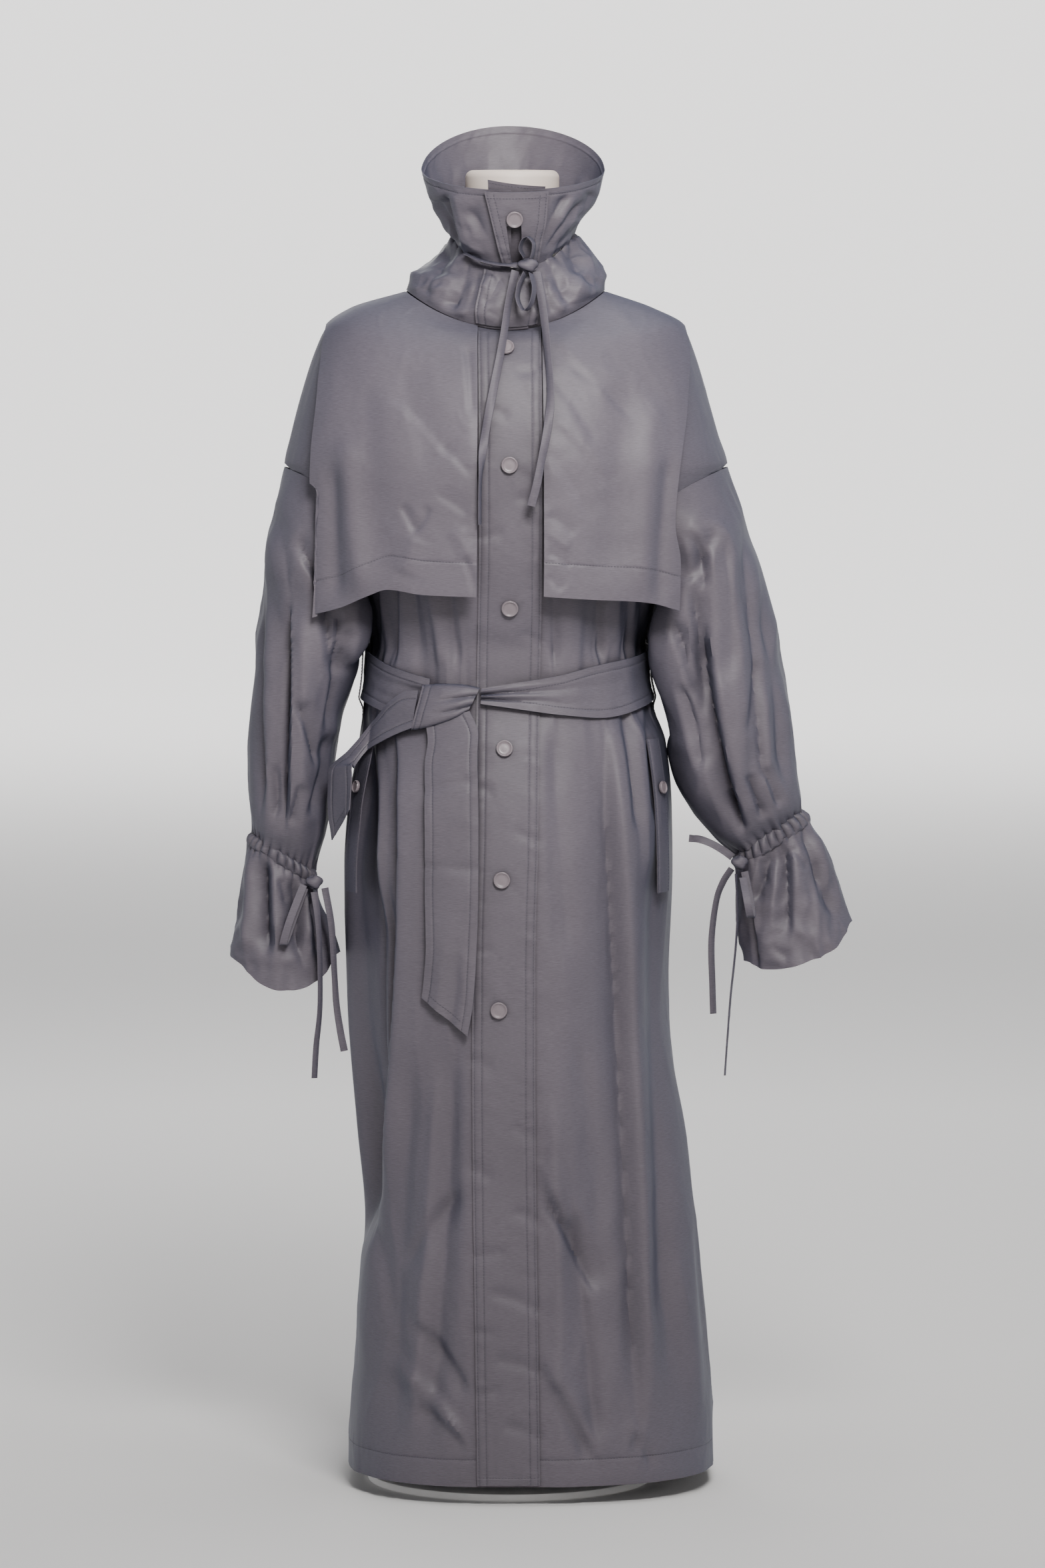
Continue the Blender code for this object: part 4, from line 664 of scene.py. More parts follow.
def body_relief(x, y, z, side, turn, cosine):
    """Creases, the gathers under the belt and the cloth's own crumple, in mm."""
    front = side < 0
    off_middle = np.where(front, np.abs(x - middle(z)), 200)
    seam = fade(np.abs(cosine), 0.03, 0.28)
    by_hand = np.where(front, creases(x, z, FRONT_CREASES), creases(x, z, BACK_CREASES))
    by_hand = by_hand * (1 - 0.35 * fade(z, 835, 865) * fade(z, 1000, 960))
    free = fade(off_middle, 30, 52)
    around = turn * 150
    waist = (2.3 * wave(around / 12, 31) + 2.0 * wave(around / 27, 32)
             - 2.4 * np.maximum(0, 1 - 2.4 * np.abs(wave(around / 19, 33))))
    low = np.exp(-np.maximum(BELT_LOW - z, 0) / (34 + 24 * wave(around / 22, 34)))
    high = np.exp(-np.maximum(z - BELT_HIGH, 0) / (34 + 16 * wave(around / 22, 35)))
    gathers = waist * low * high * free
    under_flap = np.where(front, fade(z, 955, 985), 0)
    place = np.stack([x, y, z], axis=-1) * MM
    quiet = fade(z, 1236, 1200) * (1 - under_flap)
    body = crumple(place, 11, 2.6, 0.7) - 0.9 * facets(place, 15, 74, 2.4)
    body = body * (1 + 0.9 * fade(z, 560, 200)) * quiet * np.where(front, fade(off_middle, 24, 60), 1)
    sunk = 2.6 * under_flap * fade(off_middle, 32, 40) * fade(np.abs(cosine), 0.0, 0.25)
    return (by_hand * seam * free + gathers + body * fade(np.abs(cosine), 0.0, 0.12) + sunk
            + front_pucker(x, z) * np.where(front, 1, 0))


def front_pucker(x, z):
    """What the fly and the fronts beside it share: cross creases and stitch puckers, in mm."""
    off = x - middle(z)
    total = creases(off, z, PLACKET_CREASES)
    reach = np.exp(-np.maximum(np.abs(off) - PLACKET_WIDTH / 2, 0) / 14)
    ripple = 0.65 * wave(z / 8.5 + 0.04 * off, 41) + 0.35 * wave(z / 4.3, 42)
    other = 0.65 * wave(z / 9.5 - 0.04 * off, 43) + 0.35 * wave(z / 4.9, 44)
    edge = fade(np.abs(off), 8, 27)
    return total * reach + 0.75 * edge * reach * np.where(off > 0, ripple, other) * fade(z, 1230, 1190)


def front_depth(x, z):
    """How far forward the body's front stands, without creases, at a place in mm."""
    x, z = np.broadcast_arrays(np.asarray(x, dtype=float), np.asarray(z, dtype=float))
    h = z.copy()
    for _ in range(25):
        wide = np.where(x > 0, body_column("right", h), body_column("left", h))
        square = body_column("square", h)
        part = np.clip(np.abs(x) / wide, 0, 0.999)
        cosine = (1 - part ** square) ** (1 / square)
        h = 0.5 * h + 0.5 * (z - body_column("dip", h) * cosine ** 2)
    return body_column("front", h) * cosine


def armhole_turn(h):
    """How far the armhole reaches round from the side seam at a height, in radians."""
    centre = (ARMHOLE_LOW + ARMHOLE_HIGH) / 2
    half = (ARMHOLE_HIGH - ARMHOLE_LOW) / 2
    return ARMHOLE_TURN * np.sqrt(np.clip(1 - ((h - centre) / half) ** 2, 0, 1))


def armhole_ring(side, shrink):
    """Points of the armhole seam, from its lowest point forwards and up to its highest."""
    sign = -1 if side == "left" else 1
    turn = np.linspace(0, ROUND, SLEEVE_AROUND, endpoint=False)
    centre = (ARMHOLE_LOW + ARMHOLE_HIGH) / 2
    h = centre - (ARMHOLE_HIGH - ARMHOLE_LOW) / 2 * shrink * np.cos(turn)
    return body_surface(sign * (SIDE - ARMHOLE_TURN * shrink * np.sin(turn)), h, body_relief)


def side_reach(side, y, z):
    """How far out the body's side stands at a depth and height, with the belt and its loop, in mm."""
    deep = np.where(y > 0, body_column("back", z), body_column("front", z))
    square = body_column("square", z)
    part = np.clip(np.abs(y) / deep, 0, 1)
    belt = 16.5 * fade(z, 768, 795) * fade(z, 930, 905)
    return body_column(side, z) * (1 - part ** square) ** (1 / square) + belt


def sleeve_rings(side, rows, first=None):
    """Rings of points for the sections of one sleeve or cuff, which rest against the body's side."""
    sign = -1 if side == "left" else 1
    turn = np.linspace(0, ROUND, SLEEVE_AROUND, endpoint=False)
    sine, cosine = squircle(turn, 2.2)
    rings = [] if first is None else [first]
    for in_x, in_z, out_x, out_z, mid_y, deep, dip in rows:
        along_x = (in_x + out_x) / 2 - (out_x - in_x) / 2 * cosine
        along_z = (in_z + out_z) / 2 - (out_z - in_z) / 2 * cosine - dip * np.maximum(sine, 0) ** 2
        y = mid_y - deep * sine
        along_x = np.maximum(along_x, side_reach(side, y, along_z) + SIDE_AIR)
        rings.append(np.stack([sign * along_x, y, along_z], axis=-1) * MM)
    return np.array(rings)


def spline_rows(rings, at):
    """Rows at the given places (0 to 1) on a smooth curve through the matching points of the rings."""
    count = len(rings)
    padded = np.concatenate([[2 * rings[0] - rings[1]], rings, [2 * rings[-1] - rings[-2]]])
    out = []
    for place in np.asarray(at) * (count - 1):
        k = min(int(place), count - 2)
        t = place - k
        p0, p1, p2, p3 = padded[k:k + 4]
        out.append(0.5 * (2 * p1 + (p2 - p0) * t + (2 * p0 - 5 * p1 + 4 * p2 - p3) * t ** 2
                          + (3 * p1 - p0 - 3 * p2 + p3) * t ** 3))
    return np.array(out)


def collar_surface(turn, rings, part):
    """Collar points: angles round the neck, and part from 0 at the first ring to 1 at the last."""
    values = table(COLLAR_COLUMNS, rings)
    at = np.linspace(0, 1, len(rings))
    turn, part = np.broadcast_arrays(np.asarray(turn, dtype=float), np.asarray(part, dtype=float))
    row = {name: smooth(part, at, values[name]) for name in values}
    sine, cosine = squircle(turn, 2.0)
    x = np.where(sine > 0, row["right"], row["left"]) * sine
    y = -np.where(cosine > 0, row["front"], row["back"]) * cosine
    ends = np.where(cosine > 0, row["low_front"], row["high_back"])
    z = row["side"] + (ends - row["side"]) * np.abs(cosine) ** row["power"]
    return np.stack([x, y, z], axis=-1) * MM


# ---------------------------------------------------------------- meshes
def mesh_object(name, points, faces, look, flat_over=45):
    """One mesh object from arrays: faces is a list of index arrays [face, corner]."""
    mesh = bpy.data.meshes.new(name)
    mesh.vertices.add(len(points))
    mesh.vertices.foreach_set("co", np.asarray(points, dtype=np.float32).ravel())
    sizes = np.concatenate([np.full(len(block), block.shape[1]) for block in faces])
    corners = np.concatenate([block.ravel() for block in faces])
    mesh.loops.add(len(corners))
    mesh.loops.foreach_set("vertex_index", corners.astype(np.int32))
    mesh.polygons.add(len(sizes))
    starts = np.concatenate([[0], np.cumsum(sizes)[:-1]])
    mesh.polygons.foreach_set("loop_start", starts.astype(np.int32))
    mesh.update(calc_edges=True)
    mesh.validate()
    mesh.shade_smooth()
    mesh.set_sharp_from_angle(angle=math.radians(flat_over))
    mesh.materials.append(look)
    made = bpy.data.objects.new(name, mesh)
    bpy.context.collection.objects.link(made)
    return made


def grid_index(grid, closed):
    """The numbers of a grid's points, those of each quad's left and right column, and the quads."""
    rows, columns = grid.shape[:2]
    index = np.arange(rows * columns).reshape(rows, columns)
    left = index if closed else index[:, :-1]
    right = np.roll(index, -1, axis=1) if closed else index[:, 1:]
    return index, left, right, np.stack([left[:-1], right[:-1], right[1:], left[1:]], axis=-1)


def tube(name, grid, look, flat_over=60):
    """A closed tube from rings of points, lowest first, with flat ends."""
    index, _, _, quads = grid_index(grid, True)
    ends = [index[0][::-1][None, :], index[-1][None, :]]
    return mesh_object(name, grid.reshape(-1, 3), [quads.reshape(-1, 4), *ends], look, flat_over)


def shell(name, outer, thick, look, closed=False):
    """A thin closed shell between a grid of outer points and the same grid moved in."""
    inner = moved(outer, -thick, closed)
    index, left, right, quads = grid_index(outer, closed)
    quads = quads.reshape(-1, 4)
    count = index.size
    edges = [(left[0], right[0]), (right[-1], left[-1])]
    if not closed:
        edges += [(index[1:, 0], index[:-1, 0]), (index[:-1, -1], index[1:, -1])]
    rims = [np.stack([b, a, a + count, b + count], axis=-1) for a, b in edges]
    points = np.concatenate([outer.reshape(-1, 3), inner.reshape(-1, 3)])
    return mesh_object(name, points, [quads, quads[:, ::-1] + count, *rims], look)


def stitches(name, lines, look):
    """Topstitching as one mesh of small raised dashes. Each line is its points and its normals."""
    all_points = []
    for points, out in lines:
        way = np.concatenate([[0], np.cumsum(np.linalg.norm(np.diff(points, axis=0), axis=1))])
        centres = np.arange(STITCH_LONG, way[-1] - STITCH_LONG, STITCH_LONG + STITCH_GAP)
        ends = [np.stack([np.interp(centres + d, way, points[:, k]) for k in range(3)], axis=1)
                for d in (-STITCH_LONG / 2, STITCH_LONG / 2)]
        up = np.stack([np.interp(centres, way, out[:, k]) for k in range(3)], axis=1)
        up /= np.linalg.norm(up, axis=1, keepdims=True)
        along = ends[1] - ends[0]
        along /= np.maximum(np.linalg.norm(along, axis=1, keepdims=True), 1e-9)
        side = np.cross(up, along) * STITCH_WIDE / 2
        low = -0.00012 * up
        high = STITCH_HIGH * up
        pull = along * STITCH_LONG * 0.14
        corners = [ends[0] - side + low, ends[0] + side + low, ends[1] + side + low, ends[1] - side + low,
                   ends[0] - 0.6 * side + high + pull, ends[0] + 0.6 * side + high + pull,
                   ends[1] + 0.6 * side + high - pull, ends[1] - 0.6 * side + high - pull]
        all_points.append(np.stack(corners, axis=1).reshape(-1, 3))
    points = np.concatenate(all_points)
    box = np.array([(0, 1, 2, 3), (7, 6, 5, 4), (4, 5, 1, 0), (5, 6, 2, 1), (6, 7, 3, 2), (7, 4, 0, 3)])
    faces = (np.arange(len(points) // 8)[:, None, None] * 8 + box[None]).reshape(-1, 4)
    return mesh_object(name, points, [faces], look, 60)


def with_normals(points, grid, closed=False):
    """The points of a line with the normals of the nearest points of the grid."""
    out = normals(grid, closed).reshape(-1, 3)
    flat = grid.reshape(-1, 3)
    nearest = [int(np.argmin(((flat - p) ** 2).sum(axis=1))) for p in points[::6]]
    chosen = out[nearest]
    spots = np.arange(len(points))
    return points, np.stack([np.interp(spots, spots[::6], chosen[:, k]) for k in range(3)], axis=1)


def turned(name, profile, look, place=(0, 0, 0), axis=(0, 0, 1), segments=96):
    """A solid of revolution: profile is (radius, height) from the axis at the bottom to the top."""
    axis = np.array(axis, dtype=float) / np.linalg.norm(axis)
    helper = np.array([0, 0, 1.0]) if abs(axis[2]) < 0.9 else np.array([1.0, 0, 0])
    across = np.cross(helper, axis)
    across /= np.linalg.norm(across)
    other = np.cross(axis, across)
    turn = np.linspace(0, ROUND, segments, endpoint=False)
    round_way = np.cos(turn)[:, None] * across + np.sin(turn)[:, None] * other
    inner = profile[1:-1]
    rings = [np.array(place) + axis * height + round_way * radius for radius, height in inner]
    points = np.concatenate([[np.array(place) + axis * profile[0][1]], *rings,
                             [np.array(place) + axis * profile[-1][1]]])
    k = np.arange(segments)
    step = (k + 1) % segments
    sides = []
    for ring in range(len(inner) - 1):
        low = 1 + ring * segments
        sides.append(np.stack([low + k, low + step, low + segments + step, low + segments + k], axis=-1))
    last = len(points) - 1
    top = 1 + (len(inner) - 1) * segments
    caps = [np.stack([0 * k, 1 + step, 1 + k], axis=-1),
            np.stack([top + k, top + step, 0 * k + last], axis=-1)]
    return mesh_object(name, points, [*sides, *caps], look, 40)


# ---------------------------------------------------------------- materials
def node(tree, kind, inputs=(), **settings):
    """A new node with its settings, and its inputs filled."""
    made = tree.nodes.new(kind)
    for name, value in settings.items():
        setattr(made, name, value)
    return fill(tree, made, inputs)


def fill(tree, made, inputs):
    """Sets a node's inputs, by name, to values or links them to the outputs of other nodes."""
    for name, value in dict(inputs).items():
        if isinstance(value, bpy.types.NodeSocket):
            tree.links.new(value, made.inputs[name])
        else:
            made.inputs[name].default_value = value
    return made


def new_material(name):
    """A material with its node tree, its shader and the object's own coordinates."""
    made = bpy.data.materials.new(name)
    made.use_nodes = True
    tree = made.node_tree
    return made, tree, tree.nodes["Principled BSDF"], node(tree, "ShaderNodeTexCoord").outputs["Object"]


def mixed(tree, a, b, factor, blend="MIX"):
    """The result of mixing two colours."""
    inputs = {"A": a, "B": b, "Factor": factor}
    return node(tree, "ShaderNodeMix", inputs, data_type="RGBA", blend_type=blend).outputs["Result"]


def mapped(tree, value, **limits):
    """A value brought from one range to another: from_min=, from_max=, to_min=, to_max=."""
    inputs = {name.replace("_", " ").title(): limit for name, limit in limits.items()}
    return node(tree, "ShaderNodeMapRange", {**inputs, "Value": value}).outputs["Result"]


def stretched(tree, where, scale):
    """Coordinates with their own scale on each axis."""
    return node(tree, "ShaderNodeMapping", {"Scale": scale, "Vector": where}).outputs["Vector"]


def texture(tree, where, scale, detail=2.0, kind="FBM", **inputs):
    """The value of a noise texture."""
    inputs = {"Scale": scale, "Detail": detail, "Vector": where, **inputs}
    return node(tree, "ShaderNodeTexNoise", inputs, noise_type=kind).outputs["Fac"]


def bumped(tree, height, strength, distance, **inputs):
    """Normals that follow a height."""
    inputs = {"Strength": strength, "Distance": distance, "Height": height, **inputs}
    return node(tree, "ShaderNodeBump", inputs).outputs["Normal"]


def cloth_material(name, cool, warm, roughness):
    """Two-tone taffeta: the warp shows when seen straight on, the weft when seen aslant. Creases and recesses
    get painted shade.
    """
    made, tree, shader, where = new_material(name)
    fill(tree, shader, {"Roughness": roughness, "Specular IOR Level": 0.3})
    facing = node(tree, "ShaderNodeLayerWeight", {"Blend": 0.38}).outputs["Facing"]
    two_tone = mixed(tree, (*warm, 1), (*cool, 1), facing)
    threads = texture(tree, stretched(tree, where, (170, 170, 2400)), 1.0)
    patches = texture(tree, where, 7.0, 3.0)
    tint = mixed(tree, two_tone, threads, 0.34, "OVERLAY")
    shade = mixed(tree, tint, patches, 0.18, "OVERLAY")
    # Painted shade: ambient occlusion darkens the base colour in creases, folds and recesses, down to 0.42 of
    # it.
    deep = node(tree, "ShaderNodeAmbientOcclusion", {"Distance": 0.035}, samples=1).outputs["AO"]
    painted_crease_shade = mapped(tree, deep, from_min=0.25, from_max=0.85, to_min=0.42, to_max=1.0)
    colour = mixed(tree, shade, painted_crease_shade, 1.0, "MULTIPLY")
    rough = mapped(tree, patches, to_min=roughness - 0.06, to_max=roughness + 0.07)
    wrinkle = texture(tree, stretched(tree, where, (46, 46, 30)), 1.0, 4.0, "RIDGED_MULTIFRACTAL",
                      Roughness=0.55, Distortion=0.5)
    weave = bumped(tree, threads, 0.5, 0.00012)
    fill(tree, shader, {"Base Color": colour, "Roughness": rough,
                        "Normal": bumped(tree, wrinkle, 0.7, 0.0009, Normal=weave)})
    return made


def hard_material(name, colour, roughness, metallic=0.0, grain=180.0, depth=0.00003, stretch=(1, 1, 1),
                  vary=0.1):
    """A moulded or metal surface with uneven gloss and a fine grain."""
    made, tree, shader, where = new_material(name)
    fine = texture(tree, stretched(tree, where, stretch), grain, 4.0)
    darker, lighter = [(*[min(1, c * (1 + sign * vary)) for c in colour], 1) for sign in (-1, 1)]
    tint = mixed(tree, darker, lighter, texture(tree, where, 14.0))
    rough = mapped(tree, fine, to_min=max(0.05, roughness - 0.08), to_max=roughness + 0.08)
    fill(tree, shader, {"Metallic": metallic, "Base Color": tint, "Roughness": rough,
                        "Normal": bumped(tree, fine, 0.4, depth)})
    return made


CLOTH_LOOK = cloth_material("cloth_look", (0.047, 0.056, 0.094), (0.106, 0.092, 0.110), 0.50)
TRIM_LOOK = cloth_material("trim_look", (0.045, 0.053, 0.088), (0.102, 0.089, 0.106), 0.52)
CORD_LOOK = cloth_material("cord_look", (0.044, 0.050, 0.080), (0.094, 0.082, 0.100), 0.56)
THREAD_LOOK = hard_material("thread_look", (0.048, 0.044, 0.060), 0.7, grain=2500, depth=0.00005)
BUTTON_LOOK = hard_material("button_look", (0.180, 0.150, 0.165), 0.36, grain=420, depth=0.00004)
FORM_LOOK = hard_material("form_look", (0.74, 0.71, 0.66), 0.7, grain=320, depth=0.00006, vary=0.03)
CAP_LOOK = hard_material("cap_look", (0.66, 0.57, 0.51), 0.5, grain=260, depth=0.00004, vary=0.03)
STEEL_LOOK = hard_material("steel_look", (0.56, 0.56, 0.57), 0.32, 1.0, grain=60, stretch=(1, 1, 24))
BASE_LOOK = hard_material("base_look", (0.76, 0.75, 0.74), 0.62, grain=240, depth=0.00003, vary=0.02)

# What a panel is made of: its thickness, its look and its slot.
ONE_LAYER = (CLOTH, CLOTH_LOOK, "cloth")
TURNED = (DOUBLE, TRIM_LOOK, "trim")


# ---------------------------------------------------------------- pieces
def piece(made, slot, *cad_nodes):
    """Puts a piece in place of its CAD nodes, on the one body that there is."""
    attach(made, "root")
    if cad_nodes:
        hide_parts(*cad_nodes)
    return made


def stitched(name, grid, lines, closed=False):
    """The stitches of a piece: lines is a list of lines of points on its grid."""
    made = stitches(f"{name}_stitches", [with_normals(line, grid, closed) for line in lines if len(line) > 3],
                    THREAD_LOOK)
    return piece(made, "trim")


def cut(name, cad_node, grid, lines, kind=ONE_LAYER):
    """A panel of cloth in place of its CAD node, and its rows of stitches."""
    thick, look, slot = kind
    made = piece(shell(name, grid, thick, look), slot, cad_node)
    return made, stitched(name, grid, lines)


def both_edges(grid, ways, distances):
    """Lines on the grid at distances, in mm, from its left and its right edge."""
    return [line_on(grid, ways, edge, line) for edge in ("left", "right") for line in distances]


def build_fronts():
    h = HEM_Z + (BODY_TOP - HEM_Z) * places(BODY_TOP - HEM_Z, 5.8, [BODY_HEM])
    hole = armhole_turn(h)[:, None]
    centre = np.arcsin(middle(h) / body_column("right", h))[:, None]
    across = places(250, 2.2)
    h = h[:, None]
    turns = {"right": centre + (SIDE - hole - centre) * across,
             "left": -SIDE + hole + (centre + SIDE - hole) * across}
    for side, turn in turns.items():
        grid = body_surface(turn, h, body_relief)
        ways = edge_ways(grid)
        grid = moved(grid, -pucker(ways["low"], BODY_HEM, ways["left"], 51) * MM)
        name = f"coat_front_{side}"
        made, sewn = cut(name, f"front_{side}", grid, [line_on(grid, ways, "low", BODY_HEM)])


def build_back():
    h = HEM_Z + (BODY_TOP - HEM_Z) * places(BODY_TOP - HEM_Z, 6, [BODY_HEM])
    hole = armhole_turn(h)[:, None]
    h = h[:, None]
    turn = SIDE + hole + (math.pi - 2 * hole) * places(500, 4)
    grid = body_surface(turn, h, body_relief)
    ways = edge_ways(grid)
    grid = moved(grid, -pucker(ways["low"], BODY_HEM, ways["left"], 54) * MM)
    made, sewn = cut("coat_back", "back", grid, [line_on(grid, ways, "low", BODY_HEM)])


def button_mesh(name, place, out, radius):
    """A round button with a raised rim round a shallow dish."""
    profile = [(radius * across, BUTTON_THICK * up) for across, up in BUTTON_SHAPE]
    return turned(name, profile, BUTTON_LOOK, place, out, 64)


def build_placket():
    lines = [EDGE_STITCH, EDGE_STITCH + ROW_APART]
    lines += [PLACKET_WIDTH - line for line in lines]
    off = (places(PLACKET_WIDTH, 3.3, lines) - 0.5) * PLACKET_WIDTH
    h = (HEM_Z + (PLACKET_TOP - HEM_Z) * places(PLACKET_TOP - HEM_Z, 3.3, [PLACKET_HEM]))[:, None]
    x = middle(h) + off
    square = body_column("square", h)
    part = x / np.where(x > 0, body_column("right", h), body_column("left", h))
    turn = np.arctan2(part, (1 - np.abs(part) ** square) ** (1 / square))
    grid = body_surface(turn, h)
    grid[0, :, 2] += 0.0015
    ways = edge_ways(grid)
    x, z = grid[..., 0] / MM, grid[..., 2] / MM
    relief = front_pucker(x, z)
    for number, edge in enumerate(("left", "right")):
        for row, line in enumerate(lines[:2]):
            relief += pucker(ways[edge], line, ways["low"], 61 + 6 * number + 3 * row, 0.32, 5, 6.5)
    relief += pucker(ways["low"], PLACKET_HEM, ways["left"], 75, 0.2, 6)
    for z_button, off_button in BUTTONS:
        turn = np.arctan2(z - z_button, x - middle(z) - off_button)
        near = np.hypot(z - z_button, x - middle(z) - off_button)
        star = round_wave(turn, 11, 80 + z_button)
        relief += 1.1 * star * fade(near, 6, 12) * np.exp(-near / 16)
    grid = moved(grid, (LIE + DOUBLE) - relief * MM)
    made, sewn = cut("coat_placket", "placket", grid, both_edges(grid, ways, lines[:2])
                     + [line_on(grid, ways, "low", PLACKET_HEM, 0.06, 0.94)], TURNED)
    spot = BUTTON_SPOT * np.array([-1.0, 0, 1])
    for number, (z_button, off_button) in enumerate(BUTTONS):
        z = z_button + spot[:, None]
        x = middle(z) + off_button + spot
        flat = np.stack([x, -front_depth(x, z), np.broadcast_to(z, x.shape)], axis=-1) * MM
        out = normals(flat, False)[1, 1]
        name = f"button_{number + 1}"
        place = flat[1, 1] + out * (LIE + DOUBLE + 0.0005)
        piece(button_mesh(f"round_{name}", place, out, BUTTON_R), "button", name)


def flap_top(x):
    """Height of the neck seam or the shoulder seam at a distance from the middle."""
    x = np.asarray(x, dtype=float)
    heights = np.linspace(1180, BODY_T["h"][-1], 60)
    out = np.zeros_like(x)
    for name in ("left", "right"):
        wide = body_column(name, heights)[::-1]
        ridge = smooth(np.abs(x), wide, heights[::-1])
        part = np.clip(np.abs(x) / wide[0], 0, 1)
        neck = BODY_T["h"][-1] + BODY_T["dip"][-1] * (1 - part ** 2)
        here = (x > 0) if name == "right" else (x <= 0)
        out = np.where(here, np.where(np.abs(x) < wide[0], neck, ridge), out)
    return out - 1.5


def flap_grid(side, down, across, off):
    """A storm flap: over the shoulder and the chest, then hanging free of the body and sleeve."""
    sign = -1 if side == "left" else 1
    edge = table(FLAP_EDGE_COLUMNS, FLAP_EDGE)
    hem = table(FLAP_HEM_COLUMNS, FLAP_HEM)
    down = down[:, None]
    start = PLACKET_WIDTH / 2 + 0.8
    z = np.broadcast_to(1100.0, (len(down), len(across)))
    for _ in range(12):
        x = start + (smooth(z, edge["z"], edge[side]) - start) * across
        z_hem = smooth(x, hem["x"], hem["z_" + side])
        z_top = flap_top(sign * x)
        z = z_top + (z_hem - z_top) * down
    hang = np.maximum(z, 1072.0)
    depth = front_depth(sign * x, hang) + fade(z, 1120, 1000) * 3
    depth = np.maximum(depth, FLAP_OVER_SLEEVE * fade(z, 1130, 1040))
    grid = np.stack([sign * x + middle(z) * (1 - across), -depth, z], axis=-1) * MM
    clear = off + (0.4 + 2.2 * fade(z, 1236, 1190) + 9 * fade(z, 1210, 1050) + 4 * fade(z, 1050, 930)) * MM
    order = (slice(None, None, -1), slice(None, None, sign))
    return moved(grid[order], clear[order])


def build_flaps():
    for side in ("left", "right"):
        down = (1 - places(290, 2.6, [FLAP_HEM_DEEP]))[::-1]
        grid = flap_grid(side, down, places(170, 2.6), LIE + CLOTH)
        ways = edge_ways(grid)
        x, z = grid[..., 0] / MM, grid[..., 2] / MM
        inner = "right" if side == "left" else "left"
        sewn_in = fade(ways["high"], 0, 40) * fade(ways[inner], 0, 8)
        relief = creases(x, z, FLAP_CREASES[side]) * sewn_in
        seed = 131 if side == "left" else 141
        relief += crumple(grid, seed, 1.6, 0.5) * sewn_in
        relief -= 0.7 * facets(grid, seed + 3, 82, 1.5) * sewn_in
        relief += pucker(ways["low"], FLAP_HEM_DEEP, ways["left"], 151, 0.5, 9)
        ripple = 0.6 * wave(z / 9, 161) + 0.4 * wave(z / 4.5, 162)
        relief += 0.5 * ripple * np.exp(-ways[inner] / 12) * fade(ways["high"], 0, 30)
        grid = moved(grid, -relief * MM)
        name = f"coat_flap_{side}"
        made, sewn = cut(name, f"storm_flap_{side}", grid, [line_on(grid, ways, "low", FLAP_HEM_DEEP)])


def puffs(turn, count, seed):
    """Rounded puckers from 0 to 1 with sharp dips between them, uneven round a ring."""
    return np.abs(np.sin(0.5 * (count * turn + 2.0 * round_wave(turn, 9, seed)))) ** 0.7


def wrist_gather(turn, way, seed, reach, deep=3.2, count=CASING_FOLDS):
    """Pleats that a drawcord draws up, in mm, dying out along the cloth."""
    long = 0.5 + 0.5 * round_wave(turn, 19, seed + 2)
    ridge = np.maximum(0, 1 - 2.1 * np.abs(round_wave(turn, 15, seed + 1)))
    near = (0.6 - puffs(turn, count, seed)) * np.exp(-way / (0.35 * reach))
    return deep * (1.2 * near - 1.3 * (ridge - 0.35) * np.exp(-way / (reach * (0.4 + 1.2 * long))))


